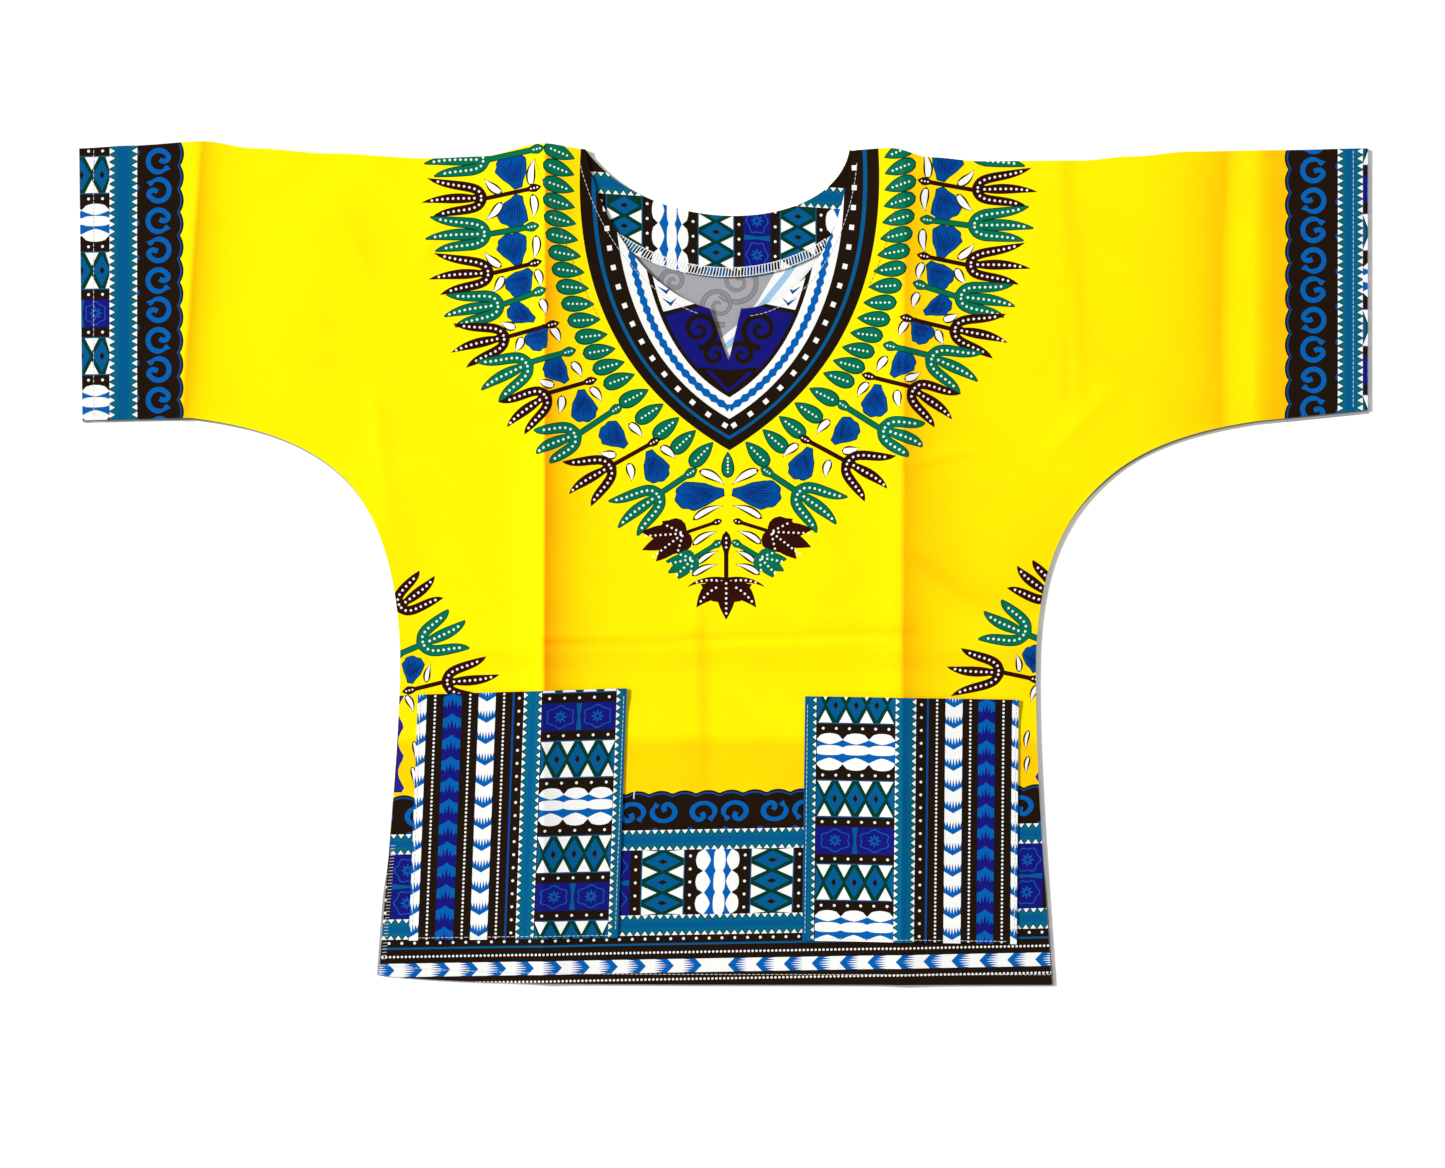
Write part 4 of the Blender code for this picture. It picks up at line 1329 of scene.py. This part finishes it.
# The pockets' corners on the front: both of the foot, then both of the mouth
POCKETS = {
    "pocket_left": ((-194.7, -233.6), (-65.4, -231.8), (-59.8, -77.4), (-189.0, -81.4)),
    "pocket_right": ((48.7, -233.6), (181.4, -235.8), (182.6, -84.5), (50.5, -82.3))}


def hidden_by_pockets(shape):
    """Whether a pocket covers a mark altogether."""
    for corners in POCKETS.values():
        outline = np.array(corners)
        if inside_outline(shape, outline).all() and edge_distance(shape, outline).min() > 1.0:
            return True
    return False


front_marks = hem_marks() + cuff_marks(-1) + cuff_marks(1) + leaf_marks() + chest_marks()
front_marks += throat_marks() + ring_marks()
front_marks = [mark for mark in front_marks if not hidden_by_pockets(mark[1])]
bends = crest_lines(CREASES) + fold_lines()
# The front's yellow takes painted shade and gold from gold_and_painted_shade
front = make_sheet(
    "front_cloth", front_edge, front_top, front_under, front_marks,
    grid_points(front_edge, 8.0), lines=bends,
    plain_points=np.concatenate([grid_points(front_edge, 14.0), *bends]), gold_and_painted_shade=gold_and_painted_shade)
front.data.materials.append(cloth)
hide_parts("front")

# The patch pockets
# Cut from the border print turned upright, turned under at their edges, and sewn to the front
# along three sides. The mouths lie a little open.
POCKET_WALL = 1.0
POCKET_GAP = 0.3
MOUTH_LIFT = 1.0
MOUTH_REACH = 16.0
POCKET_HEIGHT = 155.0

# What each pocket's strips hold, from its left edge to its right one, its own width, and the
# motif that its panel starts with
POCKET_ROWS = {
    "pocket_left": [
        (feathers, -5.0, 5.6), (beaded, 5.6, 16.1), (chevrons, 16.1, 27.3), (beaded, 27.3, 37.8),
        (feathers, 37.8, 48.4), (beaded, 48.4, 58.9), ("cobalt", 58.9, 60.1), ("black", 60.1, 66.0),
        (spaced, 60.1, 66.0), (sawtooth, 66.0, 77.4), ("panel", 77.4, 123.4), ("black", 77.1, 77.7),
        ("black", 123.1, 123.7), (sawtooth, 123.4, 136.0)],
    "pocket_right": [
        (sawtooth, -5.0, 7.4), ("panel", 7.4, 56.4), ("black", 7.1, 7.7), ("black", 56.1, 56.7),
        (sawtooth, 56.4, 69.1), ("black", 69.1, 75.8), (spaced, 69.1, 75.8), ("cobalt", 75.8, 77.0),
        (beaded, 77.0, 87.4), (feathers, 87.4, 98.1), (beaded, 98.1, 108.0),
        (chevrons, 108.0, 118.3), (beaded, 118.3, 129.0), (feathers, 129.0, 139.4)]}
POCKET_WIDTH = {"pocket_left": 129.4, "pocket_right": 133.0}
POCKET_FIRST = {"pocket_left": (2, 12.1), "pocket_right": (0, 3.9)}
POCKET_CREASES = CREASES[1:3]


def pocket_under(name, points):
    """Height of a pocket's underside: just over the front, and lifted at the mouth."""
    mouth_y = (POCKETS[name][2][1] + POCKETS[name][3][1]) / 2
    lift = MOUTH_LIFT * eased((points[:, 1] - mouth_y + MOUTH_REACH) / MOUTH_REACH)
    return front_top(points) + POCKET_GAP + lift


def pocket_top(name, points):
    """Height of a pocket's printed side."""
    return pocket_under(name, points) + POCKET_WALL


def on_pocket(name, points):
    """Up a pocket and across it, between its four corners."""
    foot_left, foot_right, mouth_right, mouth_left = (np.array(corner) for corner in POCKETS[name])
    up, over = points[:, 0, None] / POCKET_HEIGHT, points[:, 1, None] / POCKET_WIDTH[name]
    low = foot_left + (foot_right - foot_left) * over
    return low + (mouth_left + (mouth_right - mouth_left) * over - low) * up


for name, corners in POCKETS.items():
    edge = chain(*[straight(a, b) for a, b in zip(corners, corners[1:] + corners[:1])])[:-1]
    bends = crest_lines(POCKET_CREASES)
    pocket = make_sheet(
        name + "_cloth", edge, partial(pocket_top, name), partial(pocket_under, name),
        lay(strips(POCKET_ROWS[name], POCKET_HEIGHT, POCKET_FIRST[name]), partial(on_pocket, name)),
        grid_points(edge, 6.0), lines=bends,
        plain_points=np.concatenate([grid_points(edge, 9.0), *bends]))
    pocket.data.materials.append(cloth)
    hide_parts(name)

# The sewing
# Polyester thread: a topstitch round the neck, beside the pockets and along each hem, a brown
# one where the facing is caught down, and a white overlock seam on the facing and the slits.
STITCH_PITCH = 2.9
STITCH_LONG = 2.2
CHAIN_PITCH = 2.0
CHAIN_LONG = 1.9
RUNG_PITCH = 1.95
NECK_SEAM_IN = 5.0
HEM_SEAM_UP = 6.4
CUFF_SEAM_IN = 9.0
POCKET_SEAM_IN = 1.6
CAUGHT_LEFT = ((-116.9, 250.0), (-103.0, 215.0), (-93.0, 180.0), (-76.6, 150.8))
CAUGHT_RIGHT = ((110.7, 247.5), (108.0, 222.0), (102.0, 196.0), (89.6, 170.6))
STRAY_END = ((-55.5, -146.0), (-55.2, -141.0))
THREADS = {
    "pale_thread": (0.52, 0.52, 0.50, 1.0), "brown_thread": (0.16, 0.07, 0.02, 1.0),
    "white_thread": (0.64, 0.64, 0.62, 1.0), "slit_thread": (0.40, 0.40, 0.40, 1.0)}


def offset(line, by):
    """A line moved sideways by a distance, to the left of its own direction."""
    run = np.gradient(line, axis=0)
    side = pair(-run[:, 1], run[:, 0])
    return line + by * side / np.linalg.norm(side, axis=1)[:, None]


def dashes(line, pitch=STITCH_PITCH, long=STITCH_LONG):
    """Both ends of each stitch along a line."""
    spot, way = stations(line, pitch, pitch / 2)
    return pair(spot - way * long / 2, spot + way * long / 2)


def rungs(line, deep, slant):
    """Both ends of each cross thread of an overlock seam, to the left of its line."""
    spot, way = stations(line, RUNG_PITCH, RUNG_PITCH / 2)
    side = pair(-way[:, 1], way[:, 0])
    return pair(spot, spot + side * deep + way * slant)


def make_thread(name, runs, wide, thick):
    """Stitches as small bars with tapered tops, lying on the cloth, all in one mesh."""
    corners = []
    for ends, height in runs:
        way = ends[:, 1] - ends[:, 0]
        length = np.linalg.norm(way, axis=1)[:, None]
        side = pair(-way[:, 1], way[:, 0]) / length * wide / 2
        short = way / length * wide / 2
        for share, rise in ((1.0, -0.1), (0.6, thick)):
            for end, sign in ((0, -1.0), (1, -1.0), (1, 1.0), (0, 1.0)):
                place = ends[:, end] + side * sign * share + short * (1.0 - 2.0 * end) * (rise > 0)
                corners.append(np.column_stack([place, height(place) + rise]))
    points = np.concatenate([np.stack(corners[i:i + 8], 1).reshape(-1, 3)
                             for i in range(0, len(corners), 8)])
    bar = np.array([
        (3, 2, 1, 0), (4, 5, 6, 7), (0, 1, 5, 4), (1, 2, 6, 5), (2, 3, 7, 6), (3, 0, 4, 7)])
    faces = (bar + np.arange(0, len(points), 8)[:, None, None]).reshape(-1, 4)
    mesh = bpy.data.meshes.new(name)
    mesh.from_pydata(points * METRE, [], faces.tolist())
    mesh.materials.append(new_material(name, {"Base Color": THREADS[name], "Roughness": 0.7})[0])
    thread = bpy.data.objects.new(name, mesh)
    bpy.context.scene.collection.objects.link(thread)
    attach(thread, "root")
    return thread


def cuff_line(hand, depth):
    """A line down a sleeve, a way in from its cuff."""
    x = hand * (HALF_SPAN - depth)
    foot = SIDE[hand]["cuff_foot"][1]
    return straight((x, top_edge(np.array(x)) - 1.0), (x, foot + 1.0))


hem = hem_run(front_edge[0, 0] + 2.0, -front_edge[0, 0] - 10.0)
pale = [offset(neck_left, -NECK_SEAM_IN)[2:-2], offset(neck_right, -NECK_SEAM_IN)[2:-2],
        hem + [0.0, HEM_SEAM_UP], cuff_line(-1, CUFF_SEAM_IN), cuff_line(1, CUFF_SEAM_IN)]
pale = [(dashes(line), front_top) for line in pale]
for name, (left_foot, right_foot, right_mouth, left_mouth) in POCKETS.items():
    for start, end in ((left_mouth, left_foot), (left_foot, right_foot), (right_foot, right_mouth)):
        run = offset(straight(start, end), POCKET_SEAM_IN)[1:-1]
        pale.append((dashes(run), partial(pocket_top, name)))
make_thread("pale_thread", pale, 0.42, 0.2)
caught = [(dashes(bezier(*line)), front_top) for line in (CAUGHT_LEFT, CAUGHT_RIGHT)]
make_thread("brown_thread", caught, 0.4, 0.18)
seam = neck_curve(FACING_WIDTH, FACING_HANDLES)
seam = seam[(seam[:, 0] > -75.0) & (seam[:, 0] < 72.0)]
overlock = [rungs(offset(seam, 0.4), 5.6, 0.9)]
overlock += [dashes(offset(seam, by), CHAIN_PITCH, CHAIN_LONG) for by in (0.6, 6.0)]
white = [(ends, facing_top) for ends in overlock] + [(np.array([STRAY_END]), front_top)]
make_thread("white_thread", white, 0.75, 0.2)
slit = side_run(-1)[::-1]
slit = slit[(slit[:, 1] < SLIT_TOP_Y + 8.0) & (slit[:, 1] > HEM_Y + 12.0)]
make_thread("slit_thread", [(rungs(offset(slit, -0.8), -3.0, 0.5), front_top)], 0.5, 0.15)

# The floor, the light and the camera
# A plain pale floor, soft light from the left, and the camera straight above the shirt.
FLOOR_SIZE = 40.0
FLOOR_GREY = (0.80, 0.80, 0.80, 1.0)
SKY_STRENGTH = 0.62
SUN_STRENGTH = 4.6
SUN_SPREAD = math.radians(9.0)
SUN_FROM = Vector((-0.80, 0.28, 0.62))
VIEW_CENTRE = (-0.6, -12.9)
VIEW_WIDTH = 895.9
CAMERA_HEIGHT = 2400.0
SENSOR = 36.0

bpy.ops.mesh.primitive_plane_add(size=FLOOR_SIZE)
floor = bpy.context.object
floor.name = "floor"
floor.data.materials.append(new_material("pale_floor", {
    "Base Color": FLOOR_GREY, "Roughness": 0.9})[0])

world = bpy.data.worlds.new("studio")
world.use_nodes = True
sky = world.node_tree.nodes["Background"]
sky.inputs["Color"].default_value = (1.0, 1.0, 1.0, 1.0)
sky.inputs["Strength"].default_value = SKY_STRENGTH
bpy.context.scene.world = world

key = bpy.data.lights.new("key", "SUN")
key.energy = SUN_STRENGTH
key.angle = SUN_SPREAD
key_lamp = bpy.data.objects.new("key", key)
key_lamp.rotation_euler = SUN_FROM.to_track_quat("Z", "Y").to_euler()
bpy.context.scene.collection.objects.link(key_lamp)

camera = bpy.data.cameras.new("camera")
camera.sensor_width = SENSOR
camera.lens = SENSOR * CAMERA_HEIGHT / VIEW_WIDTH
camera_object = bpy.data.objects.new("camera", camera)
camera_object.location = (VIEW_CENTRE[0] * METRE, VIEW_CENTRE[1] * METRE, CAMERA_HEIGHT * METRE)
bpy.context.scene.collection.objects.link(camera_object)
bpy.context.scene.camera = camera_object
bpy.context.scene.view_settings.view_transform = "Standard"
